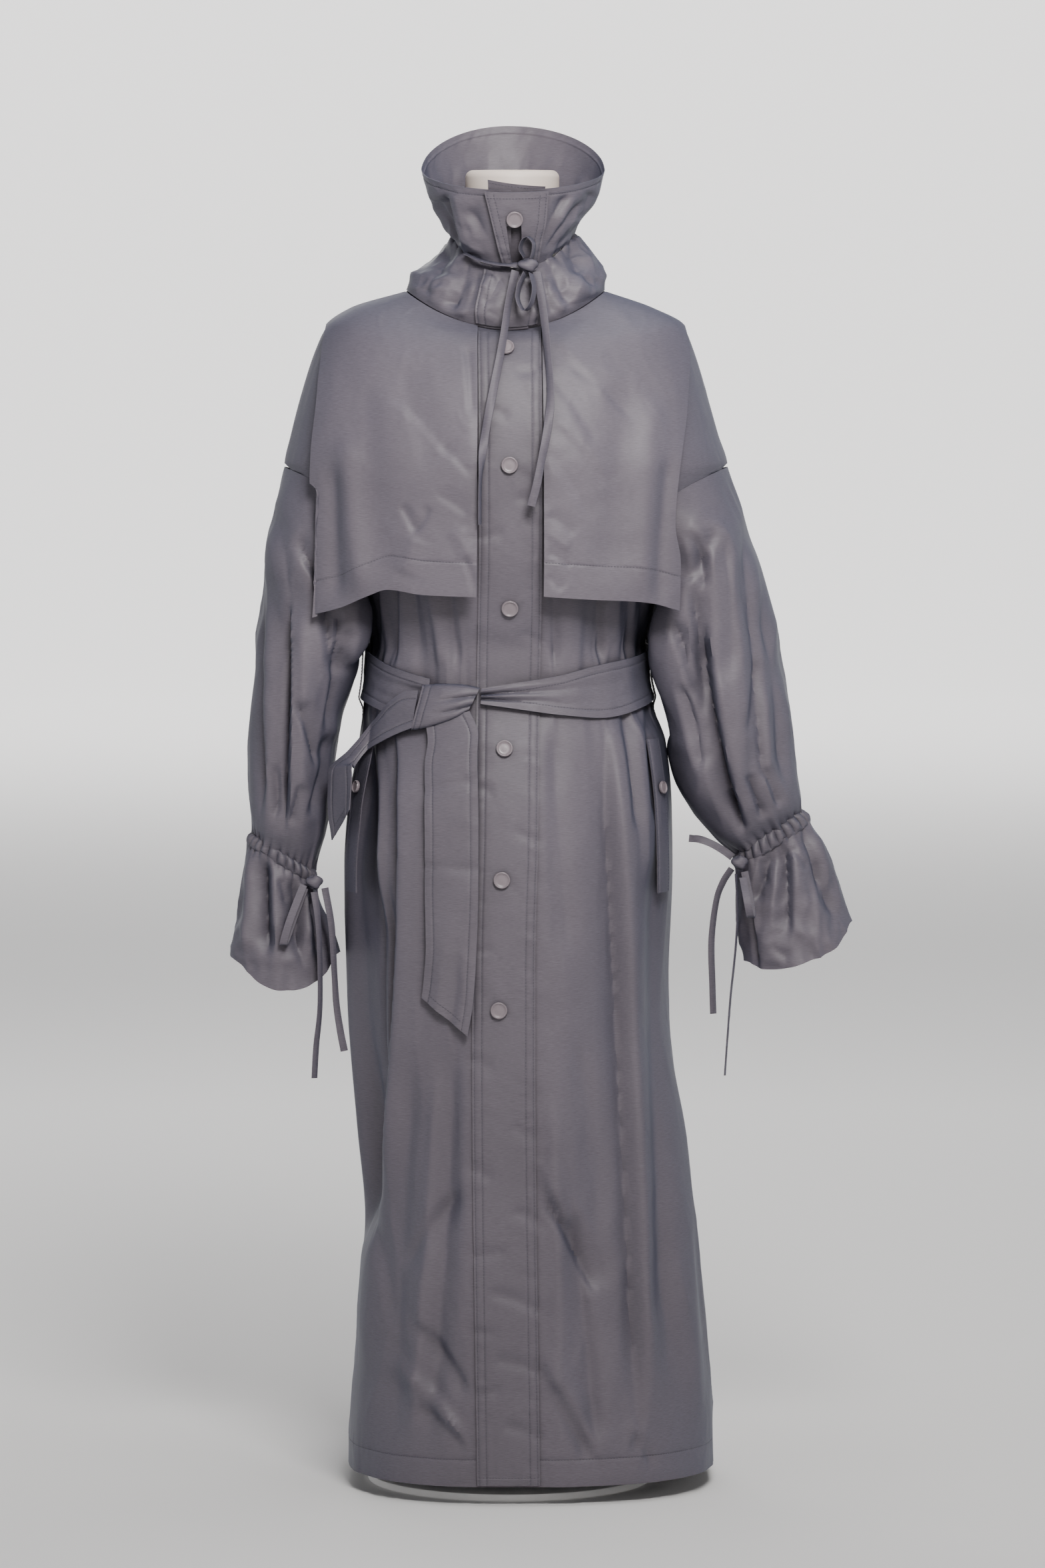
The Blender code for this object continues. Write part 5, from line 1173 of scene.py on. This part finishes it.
def build_sleeves():
    for side in ("left", "right"):
        flip = -1 if side == "right" else 1
        seed = 200 if side == "left" else 230
        turn = np.linspace(0, ROUND, SLEEVE_AROUND, endpoint=False)[::flip]
        first = armhole_ring(side, 0.996)
        rows = spline_rows(sleeve_rings(side, SLEEVES[side], first), places(370, 3.4))[:, ::flip]
        ways = edge_ways(rows)
        x, z = rows[..., 0] / MM, rows[..., 2] / MM
        facing = fade(-normals(rows, True)[..., 1], -0.25, 0.35)
        by_hand = creases(x, z, SLEEVE_CREASES[side]) * facing
        by_hand = by_hand + creases(x, z, SLEEVE_BACK_CREASES[side]) * (1 - facing)
        start = fade(ways["low"], 0, 34)
        own = crumple(rows, seed, 1.6, 0.8) - 2.4 * facets(rows, seed + 17, 54, 2.2)
        relief = by_hand * start + own * start * fade(ways["high"], 0, 60)
        relief += wrist_gather(turn, ways["high"], seed + 10, 21)
        grid = moved(rows, -relief * MM, True)
        name = f"coat_sleeve_{side}"
        made = piece(shell(name, grid, CLOTH, CLOTH_LOOK, True), "cloth", f"sleeve_{side}")

        cuff_rings = sleeve_rings(side, CUFFS[side])
        cuff = spline_rows(cuff_rings, places(100, 2.4))[:, ::flip]
        ways = edge_ways(cuff)
        flare = fade(ways["low"], 0, 80)
        x, z = cuff[..., 0] / MM, cuff[..., 2] / MM
        facing = fade(-normals(cuff, True)[..., 1], -0.2, 0.3)
        relief = wrist_gather(turn, ways["low"], seed + 10, 17, 3.0)
        relief += creases(x, z, CUFF_CREASES[side]) * facing
        relief += flare * (1 - facing) * 9 * round_wave(turn, 9, seed + 24)
        relief -= 3.2 * facets(cuff, seed + 26, 34, 1.5) * flare
        cuff = moved(cuff, -relief * MM, True)
        cuff[..., 2] -= flare ** 2 * (5 * round_wave(turn, 8, seed + 27) - 0.35 * relief) * MM
        name = f"coat_cuff_{side}"
        made = piece(shell(name, cuff, CLOTH, CLOTH_LOOK, True), "cloth", f"cuff_{side}")

        share = np.linspace(-0.25, 1.25, CASING_ROWS)[:, None, None]
        casing = rows[-1] + (spline_rows(cuff_rings, [0])[0][::flip] - rows[-1]) * share
        fine = np.linspace(0, SLEEVE_AROUND, CASING_AROUND, endpoint=False)
        low = np.floor(fine).astype(int)
        part = (fine - low)[:, None]
        casing = casing[:, low] * (1 - part) + casing[:, (low + 1) % SLEEVE_AROUND] * part
        ring = np.linspace(0, ROUND, CASING_AROUND, endpoint=False)[::flip]
        bulge = np.sin(np.pi * np.linspace(0, 1, CASING_ROWS))[:, None] ** 0.6
        folds = puffs(ring, CASING_FOLDS, seed + 10)[None, :]
        folds = folds + 0.25 * noise(casing / MM / np.array([6, 6, 9]), seed + 32)
        casing = moved(casing, (bulge * (0.6 + 3.6 * folds) - 1.0) * MM, True)
        name = f"cuff_casing_{side}"
        made = piece(shell(f"coat_casing_{side}", casing, CLOTH, TRIM_LOOK, True), "trim", name)


def build_collar():
    turn = np.linspace(COLLAR_GAP[0], ROUND + COLLAR_GAP[1], COLLAR_AROUND)
    part = places(75, 1.9)[:, None]
    over = 0.0012 + 0.0018 * fade(turn, ROUND - 0.5, ROUND - 0.05)
    low = moved(collar_surface(turn, COLLAR_LOWER, part), over + 0 * part)
    ways = edge_ways(low)
    loose = fade(ways["low"], 0, 16)
    aside = np.where(low[..., 1] < 0, fade(np.abs(low[..., 0] / MM), 32, 48), 1)
    relief = -3.4 * facets(low, 301, 36, 0.75) * loose * fade(ways["high"], 0, 10) * aside
    facing = fade(-normals(low, False)[..., 1], -0.1, 0.3)
    relief += creases(low[..., 0] / MM, low[..., 2] / MM, COLLAR_LOW_CREASES) * facing * loose
    relief += wrist_gather(turn, ways["high"], *COLLAR_PLEATS) * (0.35 + 0.65 * aside)
    low = moved(low, -relief * MM)
    made = piece(shell("coat_collar_low", low, CLOTH, CLOTH_LOOK), "cloth", "collar_lower")

    build_low_fly()

    turn = np.linspace(COLLAR_GAP[1], ROUND + COLLAR_GAP[0], COLLAR_AROUND)
    part = places(95, 1.9, [95 - RIM_HEM])[:, None]
    high = moved(collar_surface(turn, COLLAR_UPPER, part), 0.0004)
    ways = edge_ways(high)
    loose = fade(ways["low"], 0, 12)
    relief = wrist_gather(turn, ways["low"], *COLLAR_PLEATS) * fade(ways["high"], 0, 30)
    facing = fade(-normals(high, False)[..., 1], -0.1, 0.3)
    drawn = fade(ways["high"], 2, 16) * (0.25 + 0.75 * fade(ways["low"], 2, 18))
    relief += creases(high[..., 0] / MM, high[..., 2] / MM, COLLAR_CREASES) * facing * drawn
    own = crumple(high, 331, 1.0, 0.6) - 3.0 * facets(high, 335, 38, 1.1) * fade(ways["high"], 6, 45)
    aside = np.where(high[..., 1] < 0, fade(np.abs(high[..., 0] / MM - 5), 28, 44), 1)
    relief = (relief + own * loose * (0.6 + 0.4 * facing)) * (0.25 + 0.75 * aside)
    relief += pucker(ways["high"], RIM_HEM, ways["left"], 345, 0.7, 6)
    high = moved(high, -relief * MM)
    made, sewn = cut("coat_collar_high", "collar_upper", high, [line_on(high, ways, "high", RIM_HEM)])

    part = np.linspace(*COLLAR_FLY["part"], 50)[:, None]
    left, right = [np.radians(COLLAR_FLY[edge][0] + (COLLAR_FLY[edge][1] - COLLAR_FLY[edge][0]) * part)
                   for edge in ("left", "right")]
    lines = [*COLLAR_ROWS, *[COLLAR_FLY_WIDE - line for line in COLLAR_ROWS]]
    across = places(COLLAR_FLY_WIDE, 1.6, lines)
    grid = moved(collar_surface(left + (right - left) * across, COLLAR_UPPER, part), 0.0052)
    ways = edge_ways(grid)
    relief = crumple(grid, 351, 0.8, 0.7)
    drawn = 0.4 + 0.7 * fade(ways["low"], 45, 15)
    for edge in ("left", "right"):
        for row, line in enumerate(COLLAR_ROWS):
            relief += pucker(ways[edge], line, ways["low"], 355 + 3 * row, 1, 5, 5) * drawn
    grid = moved(grid, -relief * MM)
    rows = int(COLLAR_SLOT[2] * len(grid))
    a, b = [int(np.argmin(np.abs(across - value))) for value in COLLAR_SLOT[:2]]
    name = "coat_collar_placket"
    made = piece(slotted(name, grid, DOUBLE, TRIM_LOOK, rows, a, b), "cloth", "collar_placket")
    lines = both_edges(grid, ways, COLLAR_ROWS) + [line_on(grid, ways, "high", RIM_HEM)]
    sewn = stitched(name, grid, lines)

    part = np.linspace(0.06, 1, 50)[:, None]
    turn = np.radians(np.linspace(-15, 23, 40))
    inside = moved(collar_surface(turn, COLLAR_UPPER, part), -0.0046)
    inside[..., 2] += fade(part, 0.8, 1) * np.linspace(9, 1, 40) * MM
    ways = edge_ways(inside)
    made, sewn = cut("coat_collar_underlap", "collar_underlap", inside, [line_on(inside, ways, "high", 3)])

    spot = np.array([-1, 0, 1])
    turn = np.radians(COLLAR_BUTTON[0] + COLLAR_SPOT[0] * spot)
    part = (COLLAR_BUTTON[1] + COLLAR_SPOT[1] * spot)[:, None]
    flat = collar_surface(turn, COLLAR_UPPER, part)
    out = normals(flat, False)[1, 1]
    piece(button_mesh("round_button_7", flat[1, 1] + out * 0.0058, out, BUTTON_R), "button", "button_7")


def build_low_fly():
    """The placket's stretch over the lower collar, from the neck seam to the drawcord."""
    part = np.linspace(*LOW_FLY["part"], 40)[:, None]
    lines = [EDGE_STITCH, EDGE_STITCH + ROW_APART]
    lines += [LOW_FLY_WIDE - line for line in lines]
    across = 2 * places(LOW_FLY_WIDE, 1.7, lines) - 1
    turn = np.radians(LOW_FLY["centre"] + np.interp(part, LOW_FLY["part"], LOW_FLY["half"]) * across)
    grid = moved(collar_surface(turn, COLLAR_LOWER, part), 0.0044)
    ways = edge_ways(grid)
    x, z = grid[..., 0] / MM, grid[..., 2] / MM
    relief = creases(x, z, LOW_FLY_CREASES) + crumple(grid, 361, 1.0, 0.8)
    for edge in ("left", "right"):
        for line in lines[:2]:
            relief += pucker(ways[edge], line, ways["low"], 365, 0.4, 5, 5)
    grid = moved(grid, -relief * MM)
    lines = both_edges(grid, ways, lines[:2])
    made, sewn = cut("coat_collar_fly_low", "collar_placket_low", grid, lines, TURNED)


def slotted(name, outer, thick, look, rows, a, b):
    """As shell, without the cells of the first rows between columns a and b."""
    index, _, _, quads = grid_index(outer, False)
    keep = np.ones(quads.shape[:2], dtype=bool)
    keep[:rows, a:b] = False
    cells = quads[keep]
    count = index.size
    pairs = np.concatenate([cells[:, [k, (k + 1) % 4]] for k in range(4)]).tolist()
    known = set(map(tuple, pairs))
    rim = np.array([(end, start, start + count, end + count)
                    for start, end in pairs if (end, start) not in known])
    faces = [cells, cells[:, ::-1] + count, rim]
    used = np.unique(np.concatenate([block.ravel() for block in faces]))
    order = np.full(2 * count, -1)
    order[used] = np.arange(len(used))
    points = np.concatenate([outer.reshape(-1, 3), moved(outer, -thick).reshape(-1, 3)])
    return mesh_object(name, points[used], [order[block] for block in faces], look)


def build_belt():
    values = table(BELT_COLUMNS, BELT)
    up = places(BELT_WIDE, 2.4, [BELT_STITCH, BELT_WIDE - BELT_STITCH])[:, None]
    turn = np.linspace(values["turn"][0], values["turn"][-1], 330)
    low = smooth(turn, values["turn"], values["z_low"])
    high = smooth(turn, values["turn"], values["z_top"])
    z = low + (high - low) * up
    grid = body_surface(np.radians(turn), 850 + (z - 850) * 0.85)
    grid[..., 2] = z * MM
    grid = moved(grid, DOUBLE + smooth(turn, values["turn"], values["lift"]) * MM)
    ways = edge_ways(grid)
    along = ways["left"]
    pinch = np.exp(-along / 60) + 0.8 * np.exp(-ways["right"] / 32)
    ply = np.exp(-((up - 0.30 - 0.05 * wave(along / 30, 401)) / 0.07) ** 2) * 3.6
    ply = ply + np.exp(-((up - 0.62 + 0.06 * wave(along / 26, 402)) / 0.06) ** 2) * 3.0
    ply = ply - np.exp(-((up - 0.46) / 0.08) ** 2) * 2.4 - np.exp(-((up - 0.82) / 0.08) ** 2) * 1.6
    relief = ply * pinch + 0.8 * wave(along / 46, 403) * (up - 0.5) * 2 + crumple(grid, 411, 0.7, 0.5)
    relief += 0.9 * wave(along / 17, 404) * np.exp(-((up - 0.5) / 0.35) ** 2) * fade(along, 10, 80)
    for edge in ("low", "high"):
        relief += pucker(ways[edge], BELT_STITCH, along, 415, 0.25, 6) * fade(along, 40, 120)
    grid = moved(grid, -relief * MM)
    lines = [line_on(grid, ways, edge, BELT_STITCH) for edge in ("low", "high")]
    made, sewn = cut("coat_belt", "belt", grid, lines, TURNED)

    pieces = [sewn, *build_tail("front", TAIL_FRONT, 330, 55), *build_tail("side", TAIL_SIDE, 190, 45),
              *build_knot()]

    at = np.linspace(0, 5, 41)
    rows = np.interp(at, range(6), [806.0, 815, 825, 882, 889, 896])[:, None]
    stand = np.interp(at, range(6), [1.4, 2.4, 9.8, 9.8, 2.4, 1.4])
    stand = np.convolve(np.pad(stand, 3, mode="edge"), np.ones(7) / 7, mode="valid")
    for side, angle in (("left", -88), ("right", 96)):
        across = np.radians(angle + np.linspace(-2.6, 2.6, 9))
        grid = moved(body_surface(across, rows), stand[:, None] * MM + 0 * (rows + across))
        ways = edge_ways(grid)
        name = f"coat_belt_loop_{side}"
        lines = both_edges(grid, ways, [WELT_STITCH])
        made, sewn = cut(name, f"belt_loop_{side}", grid, lines, TURNED)


def build_tail(which, rows, long, wide):
    """One hanging end of the belt, with its stitches."""
    values = table(TAIL_COLUMNS, rows)
    spots = np.linspace(0, 1, len(rows))
    at = places(long, 2.6, [long - BELT_STITCH])[:, None]
    row = {name: smooth(at, spots, values[name]) for name in values}
    across = places(wide, 2.4, [BELT_STITCH, wide - BELT_STITCH])
    x = row["a_x"] + (row["b_x"] - row["a_x"]) * across
    z = row["a_z"] + (row["b_z"] - row["a_z"]) * across
    bound = 0.93 * body_column("left", z)
    depth = front_depth(np.clip(x, -bound, bound), z) + row["off"] + row["tilt"] * (across - 0.5)
    grid = moved(np.stack([x, -depth, z], axis=-1)[::-1] * MM, DOUBLE)
    ways = edge_ways(grid)
    seed = 431 if which == "front" else 441
    relief = crumple(grid, seed, 0.9, 0.8)
    relief += 1.1 * wave(ways["low"] / 24, seed + 8) * np.exp(-((across - 0.5) / 0.45) ** 2)
    if which == "front":
        relief += 1.8 * np.exp(-(np.abs(z - 672 - 0.12 * (x + 60)) / 5) ** 1.3)
        relief += 1.6 * np.exp(-(np.abs(z - 590 + 0.10 * (x + 60)) / 4) ** 1.3)
        relief -= 2.2 * np.exp(-((across - 0.32) / 0.12) ** 2) * fade(z, 735, 800)
        relief += 2.6 * np.exp(-((across - 0.62) / 0.10) ** 2) * fade(z, 740, 800)
    for edge in ("left", "right"):
        relief += pucker(ways[edge], BELT_STITCH, ways["low"], seed + 3, 0.25, 6)
    grid = moved(grid, -relief * MM)
    start = 0.03 if which == "side" else 0.0
    lines = [line_on(grid, ways, edge, BELT_STITCH, start) for edge in ("left", "right")]
    lines.append(line_on(grid, ways, "low", BELT_STITCH, 0.2, 0.8))
    return cut(f"coat_belt_tail_{which}", f"belt_tail_{which}", grid, lines, TURNED)


def build_knot():
    """The belt's half knot: one wide turn over the belt, drawn together on its right."""
    values = table(KNOT_COLUMNS, KNOT)
    across = places(KNOT_WIDE, 1.4, [EDGE_STITCH, EDGE_STITCH + ROW_APART])
    roll = np.linspace(-math.pi / 2, math.pi / 2, 48)[:, None]
    row = {name: smooth(across, np.linspace(0, 1, len(KNOT)), values[name]) for name in values}
    share = 0.5 + 0.5 * np.sign(roll) * np.abs(np.sin(roll)) ** 0.8
    x = row["low_x"] + (row["top_x"] - row["low_x"]) * share
    z = row["low_z"] + (row["top_z"] - row["low_z"]) * share
    rise = np.abs(np.cos(roll)) ** 0.5
    fan = (share - 0.5) * (2.4 - across)
    folds = (3.0 * np.exp(-np.abs((fan - 0.26) / 0.13) ** 1.5)
             + 2.6 * np.exp(-np.abs((fan + 0.36) / 0.12) ** 1.5)) * fade(across, 0.15, 0.7)
    folds = folds - 1.6 * np.exp(-((fan + 0.04) / 0.2) ** 2) * fade(across, 0.2, 0.7)
    depth = front_depth(x, np.clip(z, 800, 860)) + 4 + (row["off"] - 4) * rise - folds * rise
    grid = np.stack([x, -depth, z], axis=-1) * MM
    ways = edge_ways(grid)
    relief = crumple(grid, 451, 0.8, 0.6)
    for line in (EDGE_STITCH, EDGE_STITCH + ROW_APART):
        relief += pucker(ways["left"], line, ways["low"], 455, 0.3, 5)
    grid = moved(grid, -relief * MM)
    lines = [line_on(grid, ways, "left", line, 0.1, 0.9) for line in (EDGE_STITCH, EDGE_STITCH + ROW_APART)]
    return cut("coat_belt_knot", "belt_knot", grid, lines, TURNED)


def build_pockets():
    for side, angle in (("left", -64), ("right", 62)):
        lines = [WELT_STITCH, WELT_WIDE - WELT_STITCH]
        across = np.radians(angle + WELT_TURN * (places(WELT_WIDE, 1.6, lines) - 0.5))
        heights = (WELT_LOW + WELT_LONG * places(WELT_LONG, 2.6))[:, None]
        grid = moved(body_surface(across, heights), 2.2 * LIE + DOUBLE + 0.0008)
        ways = edge_ways(grid)
        relief = crumple(grid, 461, 1.6, 0.5) + pucker(ways["left"], WELT_STITCH, ways["low"], 465, 0.3, 5)
        grid = moved(grid, -relief * MM)
        name = f"coat_pocket_{side}"
        lines = both_edges(grid, ways, [WELT_STITCH])
        made, sewn = cut(name, f"pocket_welt_{side}", grid, lines, TURNED)
        spot = body_surface(np.radians(angle + np.array([-3, 0, 3])), np.array([725.0, 736, 747])[:, None])
        out = normals(spot, False)[1, 1]
        name = f"pocket_button_{side}"
        piece(button_mesh(f"round_{name}", spot[1, 1] + out * 0.0054, out, POCKET_BUTTON_R), "button", name)


# ---------------------------------------------------------------- drawcords
def tape(name, route, width, thick, steps=60):
    """A flat tape with soft edges on a smooth curve; gives the object and its middle line."""
    rows = spline_rows(np.array(route, dtype=float), np.linspace(0, 1, steps))
    path = rows[:, :3] * MM
    along = np.gradient(path, axis=0)
    along /= np.linalg.norm(along, axis=1, keepdims=True)
    turn = np.radians(rows[:, 3])
    wide = np.stack([np.cos(turn), np.sin(turn), np.zeros(len(turn))], axis=1)
    wide -= along * (wide * along).sum(axis=1, keepdims=True)
    wide /= np.linalg.norm(wide, axis=1, keepdims=True)
    flat = np.cross(wide, along)
    round_way = np.linspace(0, ROUND, 20, endpoint=False)
    sine = np.sin(round_way)
    cosine = np.cos(round_way)
    out = np.sign(cosine) * np.abs(cosine) ** 0.7 * width / 2
    up = np.sign(sine) * np.abs(sine) ** 0.6 * thick / 2
    groove = 0.22 * thick * np.exp(-((np.abs(out) - 0.36 * width) / (0.05 * width)) ** 2) * np.sign(up)
    way = np.concatenate([[0], np.cumsum(np.linalg.norm(np.diff(path, axis=0), axis=1))]) / MM
    ripple = 0.00028 * wave(way / 5.5, 501)[:, None] * np.cos(np.pi * out / width) ** 2
    lift = (up - groove)[None, :] + ripple + 0.0005 * (2 * np.abs(out[None, :]) / width) ** 2
    grid = path[:, None, :] + wide[:, None, :] * out[None, :, None] + flat[:, None, :] * lift[..., None]
    index, _, right, _ = grid_index(grid, True)
    quads = np.stack([index[:-1], index[1:], right[1:], right[:-1]], axis=-1).reshape(-1, 4)
    caps = [index[0][None, :], index[-1][::-1][None, :]]
    made = mesh_object(name, grid.reshape(-1, 3), [quads, *caps], CORD_LOOK, 60)
    return piece(made, "cord"), path


def knot_mesh(name, place, size):
    """A small tied knot: a rounded lump with a band of the tape over it."""
    turn = np.linspace(0, ROUND, 40, endpoint=False)
    rise = np.linspace(-math.pi / 2, math.pi / 2, 26)[1:-1]
    bump = (1 + 0.13 * np.sin(2 * turn[None, :] + 3.0 * rise[:, None])
            + 0.09 * np.maximum(0, np.cos(rise[:, None] * 2.2 + 0.8 * np.sin(turn[None, :]))))
    x = np.cos(rise)[:, None] * np.cos(turn) * size[0] * bump
    y = np.cos(rise)[:, None] * np.sin(turn) * size[1] * bump
    z = np.sin(rise)[:, None] * size[2] * bump + 0 * turn
    return piece(tube(name, (np.stack([x, y, z], axis=-1) + np.array(place)) * MM, CORD_LOOK), "cord")


def build_cords():
    extra = {}
    sets = [("neck", "", NECK_ROUTES, NECK_KNOT, 1.0)]
    for side in ("left", "right"):
        sets.append(("cuff", "_" + side, CUFF_ROUTES[side], CUFF_KNOTS[side], CUFF_TAPE))
    for start, end, routes, knot, scale in sets:
        made_knot = knot_mesh(f"tape_{start}_knot{end}", *knot)
        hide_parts(f"{start}_cord_knot{end}")
        short = [made_knot]
        for part, route in routes.items():
            wide = TAPE_WIDTH * scale * (RUN_DRAWN if part == "run" else 1)
            made, path = tape(f"tape_{start}_{part}{end}", route, wide, TAPE_THICK * scale)
            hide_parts(f"{start}_cord_{part}{end}")
            if part.startswith("tail"):
                extra.setdefault(made.name, []).extend(short)
                short = []
            else:
                short.append(made)


# ---------------------------------------------------------------- form and stand
def build_form():
    values = table(FORM_COLUMNS, FORM)
    heights = np.concatenate([[640, 641, 643, 647], np.linspace(652, 1340, 120)])
    turn = np.linspace(0, ROUND, 110, endpoint=False)
    sine, cosine = squircle(turn, 2.15)
    h = heights[:, None]
    shrink = np.concatenate([[0.955, 0.97, 0.985, 0.995], np.ones(120)])[:, None]
    front, back = [smooth(h, values["z"], values[name]) for name in ("front", "back")]
    deep = np.where(cosine > 0, front, back)
    x = smooth(h, values["z"], values["wide"]) * sine * shrink * MM + NECK_X * fade(h, 1150, 1260)
    grid = np.stack([x, -deep * cosine * shrink * MM, h * MM + 0 * x], axis=-1)
    piece(tube("form_body", grid, FORM_LOOK, 50), "form", "form_torso")

    edge = 0.008
    curve = [(NECK_R - edge + edge * math.cos(a), NECK_TOP - edge + edge * math.sin(a))
             for a in np.linspace(0, math.pi / 2, 9)]
    cap = [(0, NECK_LOW), (NECK_R, NECK_LOW), *curve, (NECK_R * 0.5, NECK_TOP + 0.0003),
           (0, NECK_TOP + 0.0004)]
    piece(turned("form_cap_round", cap, CAP_LOOK, (NECK_X, 0, 0)), "form_cap", "form_neck_cap")
    gap = 0.0003
    low, high = BASE_THICK + gap, FORM_BOTTOM - gap
    pole = [(0, low), (POLE_R, low), (POLE_R, high), (0, high)]
    piece(turned("stand_tube", pole, STEEL_LOOK, segments=64), "steel", "stand_pole")
    base = [(0, 0), (BASE_R - 0.001, 0), (BASE_R, 0.001), (BASE_R, BASE_THICK - 0.002),
            (BASE_R - 0.0006, BASE_THICK - 0.0006), (BASE_R - 0.002, BASE_THICK), (POLE_R * 1.5, BASE_THICK),
            (0, BASE_THICK)]
    piece(turned("stand_disc", base, BASE_LOOK, segments=128), "base", "stand_base")


# ---------------------------------------------------------------- studio
def build_camera():
    data = bpy.data.cameras.new("camera")
    data.sensor_width = SENSOR
    data.lens = SENSOR * CAMERA_FAR / VIEW_HIGH
    data.clip_end = 60
    camera = bpy.data.objects.new("camera", data)
    bpy.context.collection.objects.link(camera)
    camera.location = (CAMERA_AIM[0], CAMERA_AIM[1] - CAMERA_FAR * math.cos(CAMERA_UP),
                       CAMERA_AIM[2] + CAMERA_FAR * math.sin(CAMERA_UP))
    camera.rotation_euler = (math.pi / 2 - CAMERA_UP, 0, 0)
    bpy.context.scene.camera = camera


def area_light(name, place, aim, size, power, colour, spread):
    """A rectangular light at a place, turned to an aim."""
    data = bpy.data.lights.new(name, "AREA")
    data.shape = "RECTANGLE"
    data.size, data.size_y = size
    data.energy = power
    data.color = colour
    data.spread = math.radians(spread)
    light = bpy.data.objects.new(name, data)
    bpy.context.collection.objects.link(light)
    light.location = place
    way = np.array(aim, dtype=float) - np.array(place, dtype=float)
    flat = math.hypot(way[0], way[1])
    light.rotation_euler = (math.atan2(flat, -way[2]), 0, math.atan2(way[1], way[0]) - math.pi / 2)


def build_studio():
    inside = STUDIO_R - STUDIO_BEND
    bend = [(0.01, 0.0), (2.5, 0.0), (inside, 0.0)]
    bend += [(inside + STUDIO_BEND * math.sin(a), STUDIO_BEND - STUDIO_BEND * math.cos(a))
             for a in np.linspace(0.08, math.pi / 2, 20)]
    bend.append((STUDIO_R, STUDIO_HIGH))
    turn = np.linspace(0, ROUND, STUDIO_AROUND, endpoint=False)
    grid = np.array([[(r * math.cos(a), r * math.sin(a), z) for a in turn] for r, z in bend])
    index, _, _, quads = grid_index(grid, True)
    look, tree, shader, where = new_material("backdrop_look")
    out = node(tree, "ShaderNodeVectorMath", {"Vector": where}, operation="LENGTH").outputs["Value"]
    glow = mapped(tree, out, from_min=0.4, from_max=3.2, to_min=0.0, to_max=0.44)
    fill(tree, shader, {"Base Color": (0.80, 0.79, 0.785, 1), "Roughness": 0.9, "Specular IOR Level": 0.0,
                        "Emission Color": (1.0, 0.99, 0.985, 1), "Emission Strength": glow})
    room = mesh_object("backdrop", grid.reshape(-1, 3), [quads.reshape(-1, 4), index[0][None, :]], look, 60)

    world = bpy.data.worlds.new("studio")
    bpy.context.scene.world = world
    world.use_nodes = True
    background = world.node_tree.nodes["Background"]
    fill(world.node_tree, background, {"Color": (0.80, 0.88, 1.0, 1), "Strength": 0.05})
    for name, row in LIGHTS.items():
        area_light(name, *row)


build_camera()
build_cords()
build_fronts()
build_back()
build_placket()
build_flaps()
build_sleeves()
build_collar()
build_belt()
build_pockets()
build_form()
build_studio()
